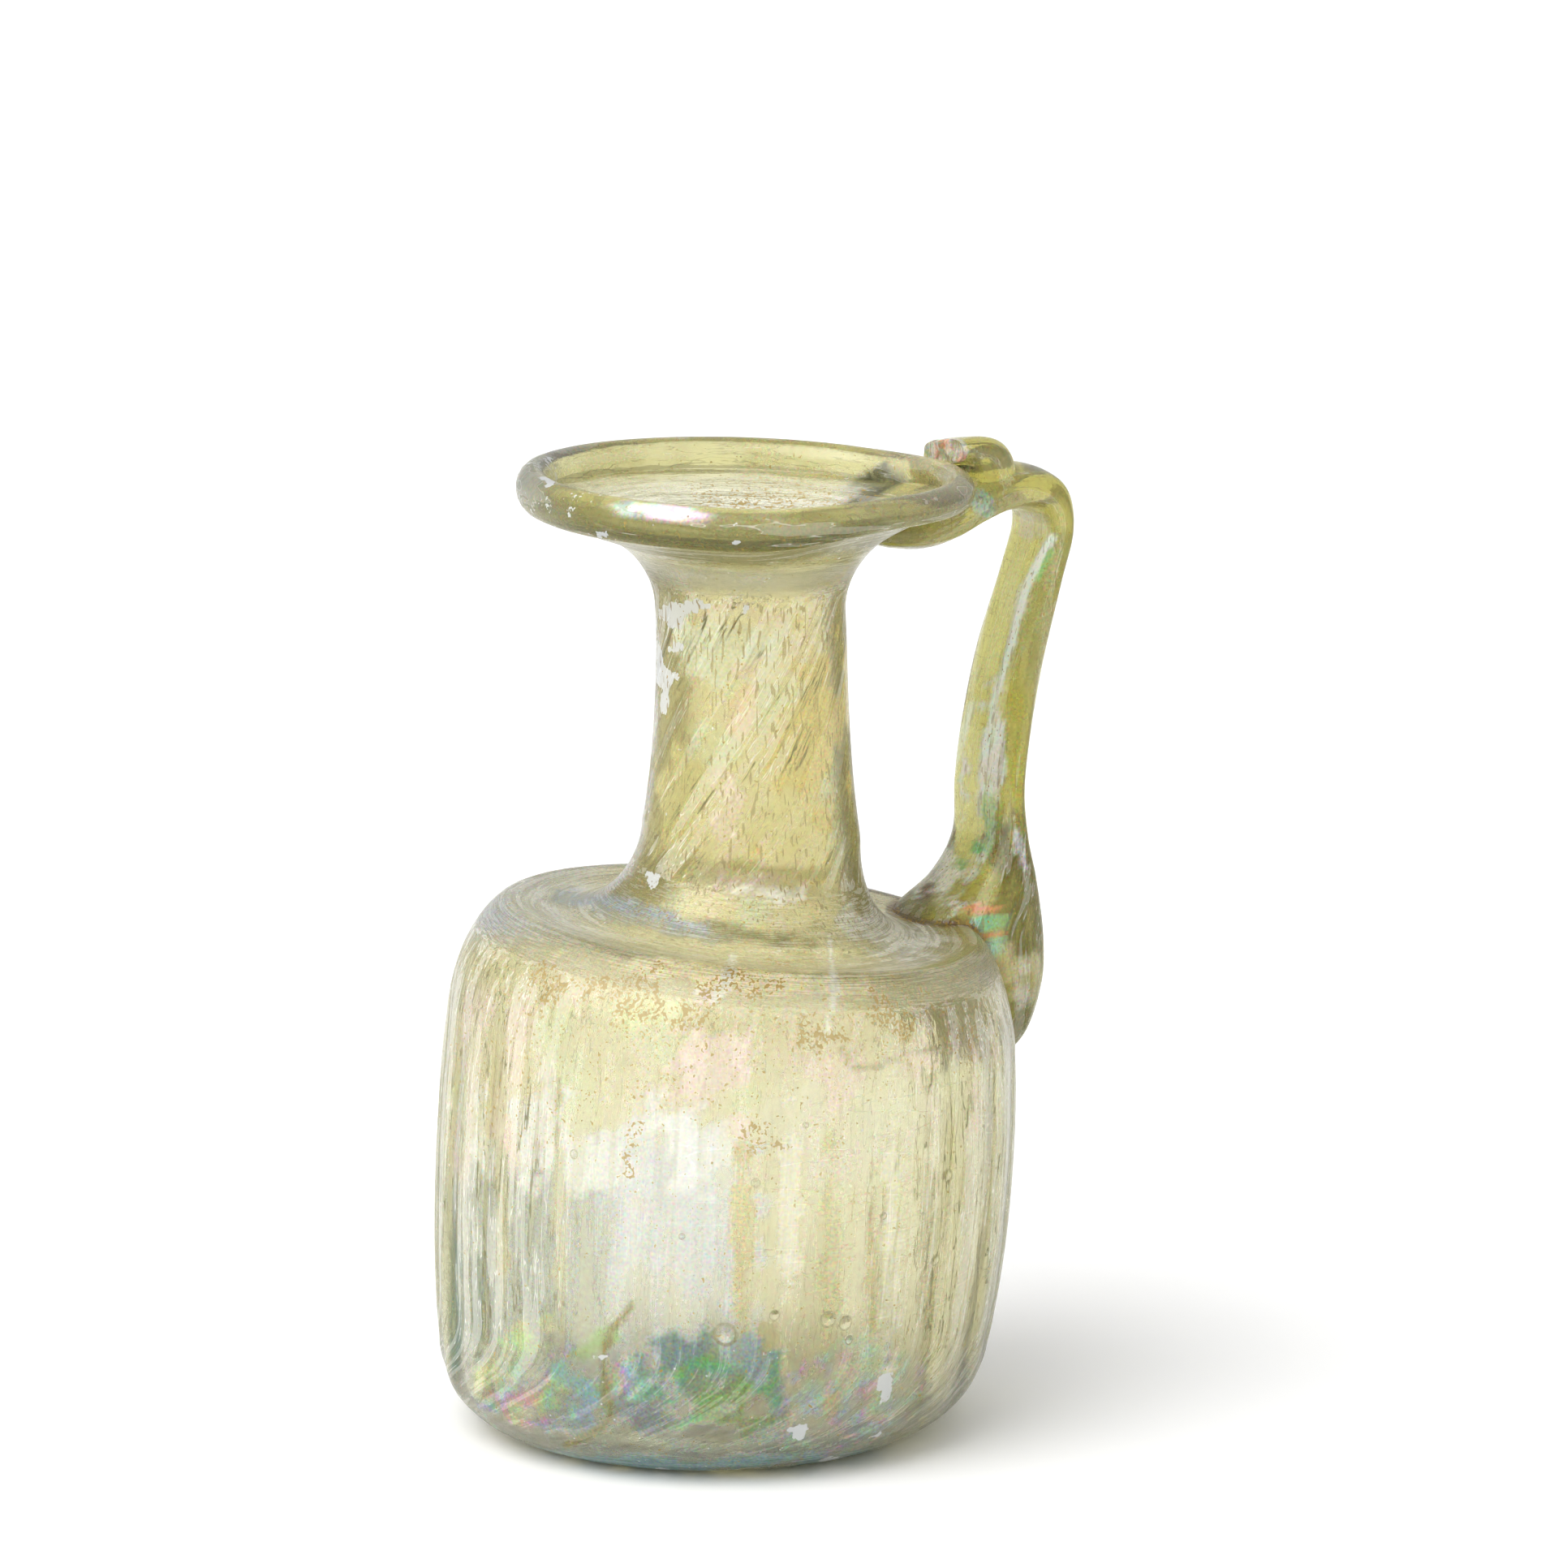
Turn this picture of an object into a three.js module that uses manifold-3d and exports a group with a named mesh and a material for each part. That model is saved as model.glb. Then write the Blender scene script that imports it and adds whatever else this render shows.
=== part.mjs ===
// A small free-blown glass jug: a squat ribbed body with a pushed-in base, a tall neck, a wide
// funnel mouth with a rolled rim, and one strap handle trailed on while hot. The vessel is hollow
// and open at the mouth. It leans a little, as the real one does: its shoulder and mouth tip to
// one side, and the neck stands off the middle of the base.
// Millimetres, +Z up. The jug stands on Z = 0, and the handle points along +X.
import * as THREE from 'three';
import { mergeVertices } from 'three/addons/utils/BufferGeometryUtils.js';
import Module from 'manifold-3d';

const wasm = await Module();
wasm.setup();

// Foot and body
const KICK_HEIGHT = 9.5;
const KICK_RADIUS = 16.5;
const FOOT_RADIUS = 21.4;
const HEEL_HEIGHT = 9.3;
const HEEL_SQUARENESS = 1.9;
const BODY_LOW_RADIUS = 31.7;
const BODY_RADIUS = 33.15;
const BODY_WIDEST_HEIGHT = 28.2;
const BODY_TOP_RADIUS = 32.65;
const BODY_TOP_HEIGHT = 45.7;
const SHOULDER_RADIUS = 26.5;
const SHOULDER_HEIGHT = 59.7;
const SHOULDER_SQUARENESS = 1.77;
const SHOULDER_DIP = 0.6;

// Neck and mouth
const NECK_FOOT_RADIUS = 12.6;
const NECK_FOOT_SPREAD = 8.5;
const NECK_FOOT_HEIGHT = 11;
const NECK_RADIUS = 10.95;
const NECK_TAPER = 2.8;
const NECK_TOP_HEIGHT = 96.0;
const FLARE_RADIUS = 8.8;
const FUNNEL_SLOPE = 24;
const RIM_RADIUS = 24.3;
const RIM_HEIGHT = 109.1;
const RIM_HALF_WIDTH = 1.9;
const RIM_HALF_HEIGHT = 2.55;
const RIM_TOP_HEIGHT = RIM_HEIGHT + RIM_HALF_HEIGHT;

// Wall thicknesses
const FLOOR_WALL = 2.2;
const BODY_WALL = 1.3;
const SHOULDER_WALL = 1.7;
const NECK_WALL = 1.9;

// Ribs round the body, blown in a dip mould
const RIB_COUNT = 22;
const RIB_RELIEF = 0.34;
const RIB_FOOT = 3;
const RIB_FULL = 12;
const RIB_FADE_START = 40;
const RIB_FADE_END = 54;
const SEGMENTS_PER_RIB = 4;
const SEGMENTS = RIB_COUNT * SEGMENTS_PER_RIB;

// The lean, in a vertical plane turned from the handle's
const LEAN_AZIMUTH = -30;
const BODY_LEAN = 3.5;
const NECK_LEAN = 5.0;
const MOUTH_LEAN = 4.4;
const SHOULDER_TIP = 5.8;
const RIM_TIP = 2.1;

// The stretch of rim that the hot trail drew up and thinned
const DRAWN_AZIMUTH = -48;
const DRAWN_HALF_WIDTH = 25;
const DRAWN_FADE = 50;
const DRAWN_LIFT = 0.7;
const DRAWN_THINNING = 0.3;

// Handle
const HANDLE_PLANE = -2.0;
const HANDLE_SQUARENESS = 2.8;
const FOLD_ROLL = 0.17;
const HANDLE_GAP = 0.3;

// Colours of the glass
const VESSEL_COLOUR = 0xd9d4ac;
const HANDLE_COLOUR = 0xb4ab62;

const degrees = THREE.MathUtils.degToRad;
const eased = THREE.MathUtils.smoothstep;
const point = (radius, height) => new THREE.Vector2(radius, height);

// Evenly spaced shares from 0 to 1, both ends included.
function shares(count) {
  return Array.from({ length: count }, (_, i) => i / (count - 1));
}

// A rounded corner as a stretch of a superellipse. Squareness 2 is an ellipse.
function corner(centre, width, height, squareness, fromAngle, toAngle, count) {
  const power = 2 / squareness;
  return shares(count).map((share) => {
    const angle = degrees(fromAngle + (toAngle - fromAngle) * share);
    const across = Math.cos(angle);
    const along = Math.sin(angle);
    return point(
      centre.x + width * Math.sign(across) * Math.abs(across) ** power,
      centre.y + height * Math.sign(along) * Math.abs(along) ** power,
    );
  });
}

// Radius of the body's side at a height: the parabola through its low, widest and top radii.
function sideRadius(height) {
  const low = HEEL_HEIGHT;
  const mid = BODY_WIDEST_HEIGHT;
  const top = BODY_TOP_HEIGHT;
  return (
    (BODY_LOW_RADIUS * (height - mid) * (height - top)) / ((low - mid) * (low - top)) +
    (BODY_RADIUS * (height - low) * (height - top)) / ((mid - low) * (mid - top)) +
    (BODY_TOP_RADIUS * (height - low) * (height - mid)) / ((top - low) * (top - mid))
  );
}

// The pushed-in base, from the axis out, raised by a floor's thickness for the inside.
function kick(raise, count) {
  return shares(count).map((share) => (
    point(KICK_RADIUS * share, raise + KICK_HEIGHT * Math.cos((Math.PI / 2) * share) ** 1.5)
  ));
}

// The body and neck from the foot up to the flare, set in from the outside by the given walls.
function side(walls, counts) {
  const footRadius = FOOT_RADIUS - walls.body;
  const heel = corner(
    point(footRadius, HEEL_HEIGHT),
    BODY_LOW_RADIUS - walls.body - footRadius,
    HEEL_HEIGHT - walls.floor,
    HEEL_SQUARENESS, -90, 0, counts.heel,
  );
  const flank = shares(counts.flank).slice(1, -1).map((share) => {
    const height = HEEL_HEIGHT + (BODY_TOP_HEIGHT - HEEL_HEIGHT) * share;
    return point(sideRadius(height) - walls.body, height);
  });
  const shoulder = corner(
    point(SHOULDER_RADIUS, BODY_TOP_HEIGHT),
    BODY_TOP_RADIUS - walls.body - SHOULDER_RADIUS,
    SHOULDER_HEIGHT - walls.shoulder - BODY_TOP_HEIGHT,
    SHOULDER_SQUARENESS, 0, 90, counts.shoulder,
  );
  const neckBottom = SHOULDER_HEIGHT - SHOULDER_DIP - walls.shoulder + NECK_FOOT_HEIGHT;
  const neckFoot = corner(
    point(NECK_FOOT_RADIUS + NECK_FOOT_SPREAD, neckBottom),
    NECK_FOOT_SPREAD + walls.neck,
    NECK_FOOT_HEIGHT,
    2, -90, -180, counts.neckFoot,
  );
  const neck = shares(counts.neck).slice(1).map((share) => {
    const narrowing = (NECK_FOOT_RADIUS - NECK_RADIUS) * (1 - (1 - share) ** NECK_TAPER);
    return point(
      NECK_FOOT_RADIUS - narrowing - walls.neck,
      neckBottom + (NECK_TOP_HEIGHT - neckBottom) * share,
    );
  });
  return [...heel, ...flank, ...shoulder, ...neckFoot, ...neck];
}

// The flare at the top of the neck, turning out to the funnel's slope.
function flare(wall, count) {
  const reach = FLARE_RADIUS + wall;
  return shares(count).slice(1).map((share) => {
    const turn = degrees((90 - FUNNEL_SLOPE) * share);
    return point(
      NECK_RADIUS - wall + reach * (1 - Math.cos(turn)),
      NECK_TOP_HEIGHT + reach * Math.sin(turn),
    );
  });
}

// The rolled rim, an upright oval, from its underside round its outside and over.
function rim(toAngle, count) {
  const centre = point(RIM_RADIUS, RIM_HEIGHT);
  return corner(centre, RIM_HALF_WIDTH, RIM_HALF_HEIGHT, 2, -100, toAngle, count);
}

const NO_WALLS = { floor: 0, body: 0, shoulder: 0, neck: 0 };
const WALLS = { floor: FLOOR_WALL, body: BODY_WALL, shoulder: SHOULDER_WALL, neck: NECK_WALL };
const OUTSIDE_RINGS = { heel: 5, flank: 4, shoulder: 5, neckFoot: 4, neck: 3 };
const INSIDE_RINGS = { heel: 3, flank: 3, shoulder: 3, neckFoot: 3, neck: 2 };

// The outside, from the axis under the kick to the given turn round the rim.
function outerProfile(rimEnd, rimRings) {
  return [...kick(0, 4), ...side(NO_WALLS, OUTSIDE_RINGS), ...flare(0, 4), ...rim(rimEnd, rimRings)];
}

// The inside, from the funnel down to the axis above the kick.
function innerProfile() {
  return [...kick(FLOOR_WALL, 4), ...side(WALLS, INSIDE_RINGS), ...flare(NECK_WALL, 3)].reverse();
}

// How far a point belongs to the drawn stretch of rim, 0 to 1.
function drawn(radius, azimuth, height) {
  const off = Math.abs(THREE.MathUtils.radToDeg(azimuth) - DRAWN_AZIMUTH);
  const round = Math.min(off, 360 - off);
  const stretch = 1 - eased(round, DRAWN_HALF_WIDTH, DRAWN_HALF_WIDTH + DRAWN_FADE);
  return height > NECK_TOP_HEIGHT ? stretch * eased(radius, NECK_RADIUS, RIM_RADIUS) : 0;
}

// Height of the ribs' relief, 0 to 1: full on the body, fading at the heel and the shoulder.
function ribStrength(height) {
  return eased(height, RIB_FOOT, RIB_FULL) * (1 - eased(height, RIB_FADE_START, RIB_FADE_END));
}

// Moves a point of the upright, round jug to where the ribbed, leaning one has it.
function formed(position, isRibbed) {
  const azimuth = Math.atan2(position.y, position.x);
  const round = Math.hypot(position.x, position.y);
  const relief = isRibbed ? RIB_RELIEF * Math.cos(RIB_COUNT * azimuth) * ribStrength(position.z) : 0;
  const x = (round + relief) * Math.cos(azimuth);
  const y = (round + relief) * Math.sin(azimuth);
  const near = drawn(round, azimuth, position.z);
  const below = RIM_TOP_HEIGHT - position.z;
  const height = position.z + near * (DRAWN_LIFT + DRAWN_THINNING * below);
  const toward = degrees(LEAN_AZIMUTH);
  const along = x * Math.cos(toward) + y * Math.sin(toward);
  const tip = THREE.MathUtils.lerp(
    SHOULDER_TIP * eased(height, 0, SHOULDER_HEIGHT),
    RIM_TIP,
    eased(height, SHOULDER_HEIGHT, NECK_TOP_HEIGHT),
  );
  const shift =
    BODY_LEAN * Math.min(1, Math.max(0, height) / SHOULDER_HEIGHT) +
    (NECK_LEAN - BODY_LEAN) * eased(height, SHOULDER_HEIGHT - 8, SHOULDER_HEIGHT + 12) +
    (MOUTH_LEAN - NECK_LEAN) * eased(height, NECK_TOP_HEIGHT - 6, RIM_HEIGHT);
  position.set(
    x + shift * Math.cos(toward),
    y + shift * Math.sin(toward),
    height - along * Math.tan(degrees(tip)),
  );
}

// Turns a profile round the axis and gives it the ribs, on rings up to ribbedRings, and the lean.
function turned(profile, ribbedRings) {
  const geometry = new THREE.LatheGeometry(profile, SEGMENTS);
  geometry.rotateX(Math.PI / 2);
  const positions = geometry.attributes.position;
  const vertex = new THREE.Vector3();
  for (let i = 0; i < positions.count; i += 1) {
    vertex.fromBufferAttribute(positions, i);
    formed(vertex, i % profile.length < ribbedRings);
    positions.setXYZ(i, vertex.x, vertex.y, vertex.z);
  }
  geometry.deleteAttribute('normal');
  geometry.deleteAttribute('uv');
  return mergeVertices(geometry, 1e-3);
}

function asSolid(geometry) {
  const mesh = new wasm.Mesh({
    numProp: 3,
    vertProperties: new Float32Array(geometry.attributes.position.array),
    triVerts: new Uint32Array(geometry.index.array),
  });
  return new wasm.Manifold(mesh);
}

function asGeometry(solid) {
  const mesh = solid.getMesh();
  const geometry = new THREE.BufferGeometry();
  geometry.setAttribute('position', new THREE.BufferAttribute(mesh.vertProperties, 3));
  geometry.setIndex(new THREE.BufferAttribute(mesh.triVerts, 1));
  geometry.computeVertexNormals();
  return geometry;
}

// The blown vessel: body, neck and mouth in one.
function vesselGeometry() {
  const outside = outerProfile(200, 8);
  const geometry = turned([...outside, ...innerProfile()], outside.length);
  geometry.computeVertexNormals();
  return geometry;
}

// The space the handle leaves for the vessel: the vessel's outside, filled and grown by the gap.
function vesselClearance() {
  const outline = outerProfile(90, 6);
  const grown = outline.map((here, i) => {
    const before = outline[Math.max(0, i - 1)];
    const after = outline[Math.min(outline.length - 1, i + 1)];
    const along = after.clone().sub(before).normalize();
    return point(here.x + along.y * HANDLE_GAP, here.y - along.x * HANDLE_GAP);
  });
  grown[0].x = 0;
  grown.push(point(0, RIM_HEIGHT));
  return asSolid(turned(grown, grown.length));
}

// A strap lofted between an inner and an outer line in the handle's plane.
// Each station is [inner X, inner Z, outer X, outer Z, half width].
function strap(stations, around, along, roll) {
  const inner = new THREE.CatmullRomCurve3(stations.map(([x, z]) => new THREE.Vector3(x, 0, z)));
  const outer = new THREE.CatmullRomCurve3(stations.map(([, , x, z]) => new THREE.Vector3(x, 0, z)));
  const widths = new THREE.SplineCurve(stations.map((station, i) => point(i, station[4])));
  const rounded = (value) => Math.sign(value) * Math.abs(value) ** (2 / HANDLE_SQUARENESS);
  const geometry = new THREE.CylinderGeometry(1, 1, 1, around, along);
  geometry.deleteAttribute('normal');
  geometry.deleteAttribute('uv');
  const welded = mergeVertices(geometry, 1e-5);
  const positions = welded.attributes.position;
  for (let i = 0; i < positions.count; i += 1) {
    const share = THREE.MathUtils.clamp(positions.getY(i) + 0.5, 0, 1);
    const low = inner.getPoint(share);
    const high = outer.getPoint(share);
    const middle = low.clone().add(high).multiplyScalar(0.5);
    const half = high.clone().sub(low).multiplyScalar(0.5);
    const depth = rounded(positions.getX(i));
    const across = -rounded(positions.getZ(i)) * widths.getPoint(share).y;
    positions.setXYZ(
      i,
      middle.x + half.x * depth,
      HANDLE_PLANE + across,
      middle.z + half.z * depth - roll * across,
    );
  }
  return asSolid(welded);
}

// The trail: a claw on the shoulder, the strap, the bend, and the end pressed in under the rim.
const CLAW = [
  [32.6, 40.2, 35.2, 37.8, 3.2],
  [27.5, 45.5, 40.2, 42.3, 6.0],
  [24.5, 51.0, 42.3, 48.2, 7.2],
  [24.6, 56.8, 42.3, 54.5, 7.2],
  [30.8, 61.0, 41.1, 61.0, 6.7],
];
const STRAP = [
  [34.1, 65.5, 39.6, 66.5, 6.3],
  [34.5, 72.0, 39.1, 72.0, 6.1],
  [35.5, 79.5, 40.1, 78.8, 5.9],
  [37.4, 88.0, 41.7, 86.8, 5.7],
  [40.3, 97.0, 44.4, 95.8, 5.2],
];
const BEND = [
  [41.8, 101.5, 46.0, 101.5, 5.2],
  [41.5, 103.6, 45.7, 105.8, 5.2],
  [39.8, 104.6, 43.3, 108.7, 5.4],
  [36.8, 104.5, 38.7, 109.9, 5.7],
];
const PRESSED_END = [
  [33.2, 103.4, 33.2, 109.4, 6.0],
  [29.5, 102.0, 28.5, 108.0, 6.4],
  [25.5, 101.2, 24.5, 106.0, 6.2],
  [21.8, 101.5, 21.0, 104.5, 4.8],
  [19.3, 102.2, 19.0, 103.2, 2.5],
];

// The very end of the trail, folded up round the rim's outside and snapped off on top of it.
const FOLD = [
  [30.0, 104.4, 35.5, 104.8, 5.2],
  [31.0, 107.0, 38.0, 107.0, 5.2],
  [31.3, 108.6, 38.4, 109.6, 5.0],
  [31.5, 109.8, 37.0, 112.0, 4.9],
  [31.3, 110.2, 34.3, 113.2, 4.7],
  [30.4, 110.2, 30.2, 113.2, 4.3],
];

function handleGeometry() {
  const trail = strap([...CLAW, ...STRAP, ...BEND, ...PRESSED_END], 12, 36, 0);
  const fold = strap(FOLD, 12, 8, FOLD_ROLL);
  return asGeometry(trail.add(fold).subtract(vesselClearance()));
}

function piece(name, geometry, colour) {
  const material = new THREE.MeshStandardMaterial({ color: colour, roughness: 0.12, metalness: 0 });
  const mesh = new THREE.Mesh(geometry, material);
  mesh.name = name;
  return mesh;
}

// Stands the jug with the middle of its outline's box over the origin.
function centred(group) {
  const box = new THREE.Box3().setFromObject(group);
  const middle = box.getCenter(new THREE.Vector3());
  group.position.set(-middle.x, -middle.y, -box.min.z);
  return group;
}

const juglet = new THREE.Group();
juglet.add(piece('vessel', vesselGeometry(), VESSEL_COLOUR));
juglet.add(piece('handle', handleGeometry(), HANDLE_COLOUR));

export default centred(juglet);
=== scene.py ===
"""A small free-blown glass jug with a ribbed body, a pushed-in base and a trailed strap handle."""

import math

import bpy
import numpy as np
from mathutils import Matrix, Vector, kdtree


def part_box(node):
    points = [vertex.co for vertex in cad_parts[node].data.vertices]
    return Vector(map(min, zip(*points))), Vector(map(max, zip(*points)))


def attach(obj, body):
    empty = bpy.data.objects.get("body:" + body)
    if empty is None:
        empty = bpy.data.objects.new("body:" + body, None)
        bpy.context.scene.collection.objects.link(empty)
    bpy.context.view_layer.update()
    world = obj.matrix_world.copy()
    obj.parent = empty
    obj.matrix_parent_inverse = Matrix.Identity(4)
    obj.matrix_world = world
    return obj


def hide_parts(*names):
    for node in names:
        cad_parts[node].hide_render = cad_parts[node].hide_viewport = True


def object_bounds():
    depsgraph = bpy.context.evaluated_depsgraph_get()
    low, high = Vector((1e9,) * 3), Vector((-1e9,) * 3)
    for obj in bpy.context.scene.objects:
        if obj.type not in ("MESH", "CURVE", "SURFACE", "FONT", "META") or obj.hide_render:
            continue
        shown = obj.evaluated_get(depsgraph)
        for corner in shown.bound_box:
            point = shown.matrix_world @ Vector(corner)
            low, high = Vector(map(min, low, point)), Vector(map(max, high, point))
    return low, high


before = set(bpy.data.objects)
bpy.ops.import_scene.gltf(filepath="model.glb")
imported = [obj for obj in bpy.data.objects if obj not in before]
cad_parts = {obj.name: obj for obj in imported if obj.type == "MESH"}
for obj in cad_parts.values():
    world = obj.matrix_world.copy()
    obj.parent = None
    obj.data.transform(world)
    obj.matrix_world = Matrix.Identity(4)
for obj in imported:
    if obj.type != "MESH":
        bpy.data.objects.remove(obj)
scene = bpy.context.scene
cad_box = [list(corner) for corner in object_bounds()]

# The blown vessel
# Body, neck and mouth are one gather of glass. It was dipped in a ribbed mould and blown free, so
# the ribs on the body are faint. The base was pushed in, and the rim rolled outward, up and in.
MM = 0.001
FLOOR_WALL = 2.2
BODY_WALL = 1.3
SHOULDER_WALL = 1.7
NECK_WALL = 1.9
FOOT_RADIUS = 21.4
KICK_HEIGHT = 9.5
KICK_RADIUS = 16.5
HEEL_HEIGHT = 9.3
HEEL_SQUARENESS = 1.9
BODY_LOW_RADIUS = 31.7
BODY_RADIUS = 33.15
BODY_WIDEST_HEIGHT = 28.2
BODY_TOP_RADIUS = 32.65
BODY_TOP_HEIGHT = 45.7
SHOULDER_RADIUS = 26.5
SHOULDER_HEIGHT = 59.7
SHOULDER_SQUARENESS = 1.77
SHOULDER_DIP = 0.6
NECK_FOOT_RADIUS = 12.6
NECK_FOOT_SPREAD = 8.5
NECK_FOOT_HEIGHT = 11
NECK_RADIUS = 10.95
NECK_TAPER = 2.8
NECK_TOP_HEIGHT = 96
FLARE_RADIUS = 8.8
FUNNEL_SLOPE = 24
RIM_RADIUS = 24.3
RIM_HEIGHT = 109.1
RIM_HALF_WIDTH = 1.9
RIM_HALF_HEIGHT = 2.55
RIM_TOP_HEIGHT = RIM_HEIGHT + RIM_HALF_HEIGHT
RIB_COUNT = 22
RIB_RELIEF = 0.34
RIB_RELIEF_INSIDE = 0.13
RIB_FOOT = 3
RIB_FULL = 12
RIB_FADE_START = 40
RIB_FADE_END = 56
LEAN_AZIMUTH = -30
BODY_LEAN = 3.5
NECK_LEAN = 5
MOUTH_LEAN = 4.4
NECK_LEAN_BELOW = 8
NECK_LEAN_ABOVE = 12
MOUTH_LEAN_BELOW = 6
SHOULDER_TIP = 5.8
RIM_TIP = 2.1
DRAWN_AZIMUTH = -48
DRAWN_HALF_WIDTH = 25
DRAWN_FADE = 50
DRAWN_LIFT = 0.7
DRAWN_THINNING = 0.3
HEEL_LINE_RELIEF = 0.07
TOOL_RING_RELIEF = 0.05
SCAR_RADIUS = 4.6
SCAR_WIDTH = 0.9
SCAR_DEPTH = 0.3
STEPS_AROUND = 264
KICK_STEPS = 30
STEPS_PER_MM_OUTSIDE = 1.35
STEPS_PER_MM_INSIDE = 0.62
STEPS_PER_MM_UNDER = 0.6
OUTSIDE, INSIDE, HANDLE = range(3)


def eased(value, low, high):
    """Smoothstep 3t^2 - 2t^3, with t from 0 at low to 1 at high."""
    t = np.clip((value - low) / (high - low), 0, 1)
    return t * t * (3 - 2 * t)


def corner(centre, width, height, squareness, start, end, count):
    """Superellipse stretch about the centre: width |cos|^(2/n) and height |sin|^(2/n)."""
    angle = np.radians(np.linspace(start, end, count))
    across = np.sign(np.cos(angle)) * np.abs(np.cos(angle)) ** (2 / squareness)
    up = np.sign(np.sin(angle)) * np.abs(np.sin(angle)) ** (2 / squareness)
    return np.column_stack([centre[0] + width * across, centre[1] + height * up])


def wall_profile(floor, body, shoulder, neck):
    """Radius and height of the vessel's wall, set in by these thicknesses, from the kick's middle
    up to the end of the flare: a cosine dome, the round heel, a parabola up the body, the round
    shoulder, the hollow foot of the neck, the neck and the arc that opens into the mouth."""
    share = np.linspace(0, 1, KICK_STEPS)
    dome = np.column_stack([KICK_RADIUS * share, floor + KICK_HEIGHT * np.cos(np.pi / 2 * share) ** 1.5])
    foot = FOOT_RADIUS - body
    heel = corner((foot, HEEL_HEIGHT), BODY_LOW_RADIUS - body - foot, HEEL_HEIGHT - floor,
                  HEEL_SQUARENESS, -90, 0, 30)
    belly_heights = [HEEL_HEIGHT, BODY_WIDEST_HEIGHT, BODY_TOP_HEIGHT]
    belly = np.polyfit(belly_heights, [BODY_LOW_RADIUS, BODY_RADIUS, BODY_TOP_RADIUS], 2)
    height = np.linspace(HEEL_HEIGHT, BODY_TOP_HEIGHT, 30)[1:-1]
    flank = np.column_stack([np.polyval(belly, height) - body, height])
    crest = corner((SHOULDER_RADIUS, BODY_TOP_HEIGHT), BODY_TOP_RADIUS - body - SHOULDER_RADIUS,
                   SHOULDER_HEIGHT - shoulder - BODY_TOP_HEIGHT, SHOULDER_SQUARENESS, 0, 90, 30)
    neck_bottom = SHOULDER_HEIGHT - SHOULDER_DIP - shoulder + NECK_FOOT_HEIGHT
    hollow = corner((NECK_FOOT_RADIUS + NECK_FOOT_SPREAD, neck_bottom), NECK_FOOT_SPREAD + neck,
                    NECK_FOOT_HEIGHT, 2, -90, -180, 24)
    narrowing = (NECK_FOOT_RADIUS - NECK_RADIUS) * (1 - (1 - share) ** NECK_TAPER)
    stem = np.column_stack([NECK_FOOT_RADIUS - narrowing - neck,
                            neck_bottom + (NECK_TOP_HEIGHT - neck_bottom) * share])
    turn = np.radians(np.linspace(0, 90 - FUNNEL_SLOPE, 24))
    reach = FLARE_RADIUS + neck
    flare = np.column_stack([NECK_RADIUS - neck + reach * (1 - np.cos(turn)),
                             NECK_TOP_HEIGHT + reach * np.sin(turn)])
    return np.vstack([dome, heel, flank, crest, hollow, stem[1:], flare[1:]])


def evenly(profile, steps_per_mm):
    """The profile's length cut into even steps."""
    length = np.concatenate([[0], np.cumsum(np.hypot(*np.diff(profile, axis=0).T))])
    along = np.linspace(0, length[-1], int(length[-1] * steps_per_mm))
    return np.column_stack([np.interp(along, length, axis) for axis in profile.T])


def lean_at(height):
    """How far the jug's axis is shifted at this height, and by what slope a level ring is tipped."""
    tip = SHOULDER_TIP * eased(height, 0, SHOULDER_HEIGHT)
    tip = tip + (RIM_TIP - tip) * eased(height, SHOULDER_HEIGHT, NECK_TOP_HEIGHT)
    shift = BODY_LEAN * np.clip(height / SHOULDER_HEIGHT, 0, 1)
    shift = shift + (NECK_LEAN - BODY_LEAN) * eased(
        height, SHOULDER_HEIGHT - NECK_LEAN_BELOW, SHOULDER_HEIGHT + NECK_LEAN_ABOVE)
    shift = shift + (MOUTH_LEAN - NECK_LEAN) * eased(height, NECK_TOP_HEIGHT - MOUTH_LEAN_BELOW, RIM_HEIGHT)
    return shift, np.tan(np.radians(tip))


def leaning(radius, azimuth, height):
    """Where a point of the round, upright jug is on the leaning one: it is drawn up beside the
    handle, tipped by an angle that grows with height, and shifted the way the jug leans."""
    off = np.abs((np.degrees(azimuth) - DRAWN_AZIMUTH + 180) % 360 - 180)
    drawn = 1 - eased(off, DRAWN_HALF_WIDTH, DRAWN_HALF_WIDTH + DRAWN_FADE)
    drawn = drawn * eased(radius, NECK_RADIUS, RIM_RADIUS)
    drawn = np.where(height > NECK_TOP_HEIGHT, drawn, 0)
    height = height + drawn * (DRAWN_LIFT + DRAWN_THINNING * (RIM_TOP_HEIGHT - height))
    toward = math.radians(LEAN_AZIMUTH)
    shift, slope = lean_at(height)
    return np.stack([
        radius * np.cos(azimuth) + shift * math.cos(toward),
        radius * np.sin(azimuth) + shift * math.sin(toward),
        height - radius * np.cos(azimuth - toward) * slope,
    ], axis=-1)


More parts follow.
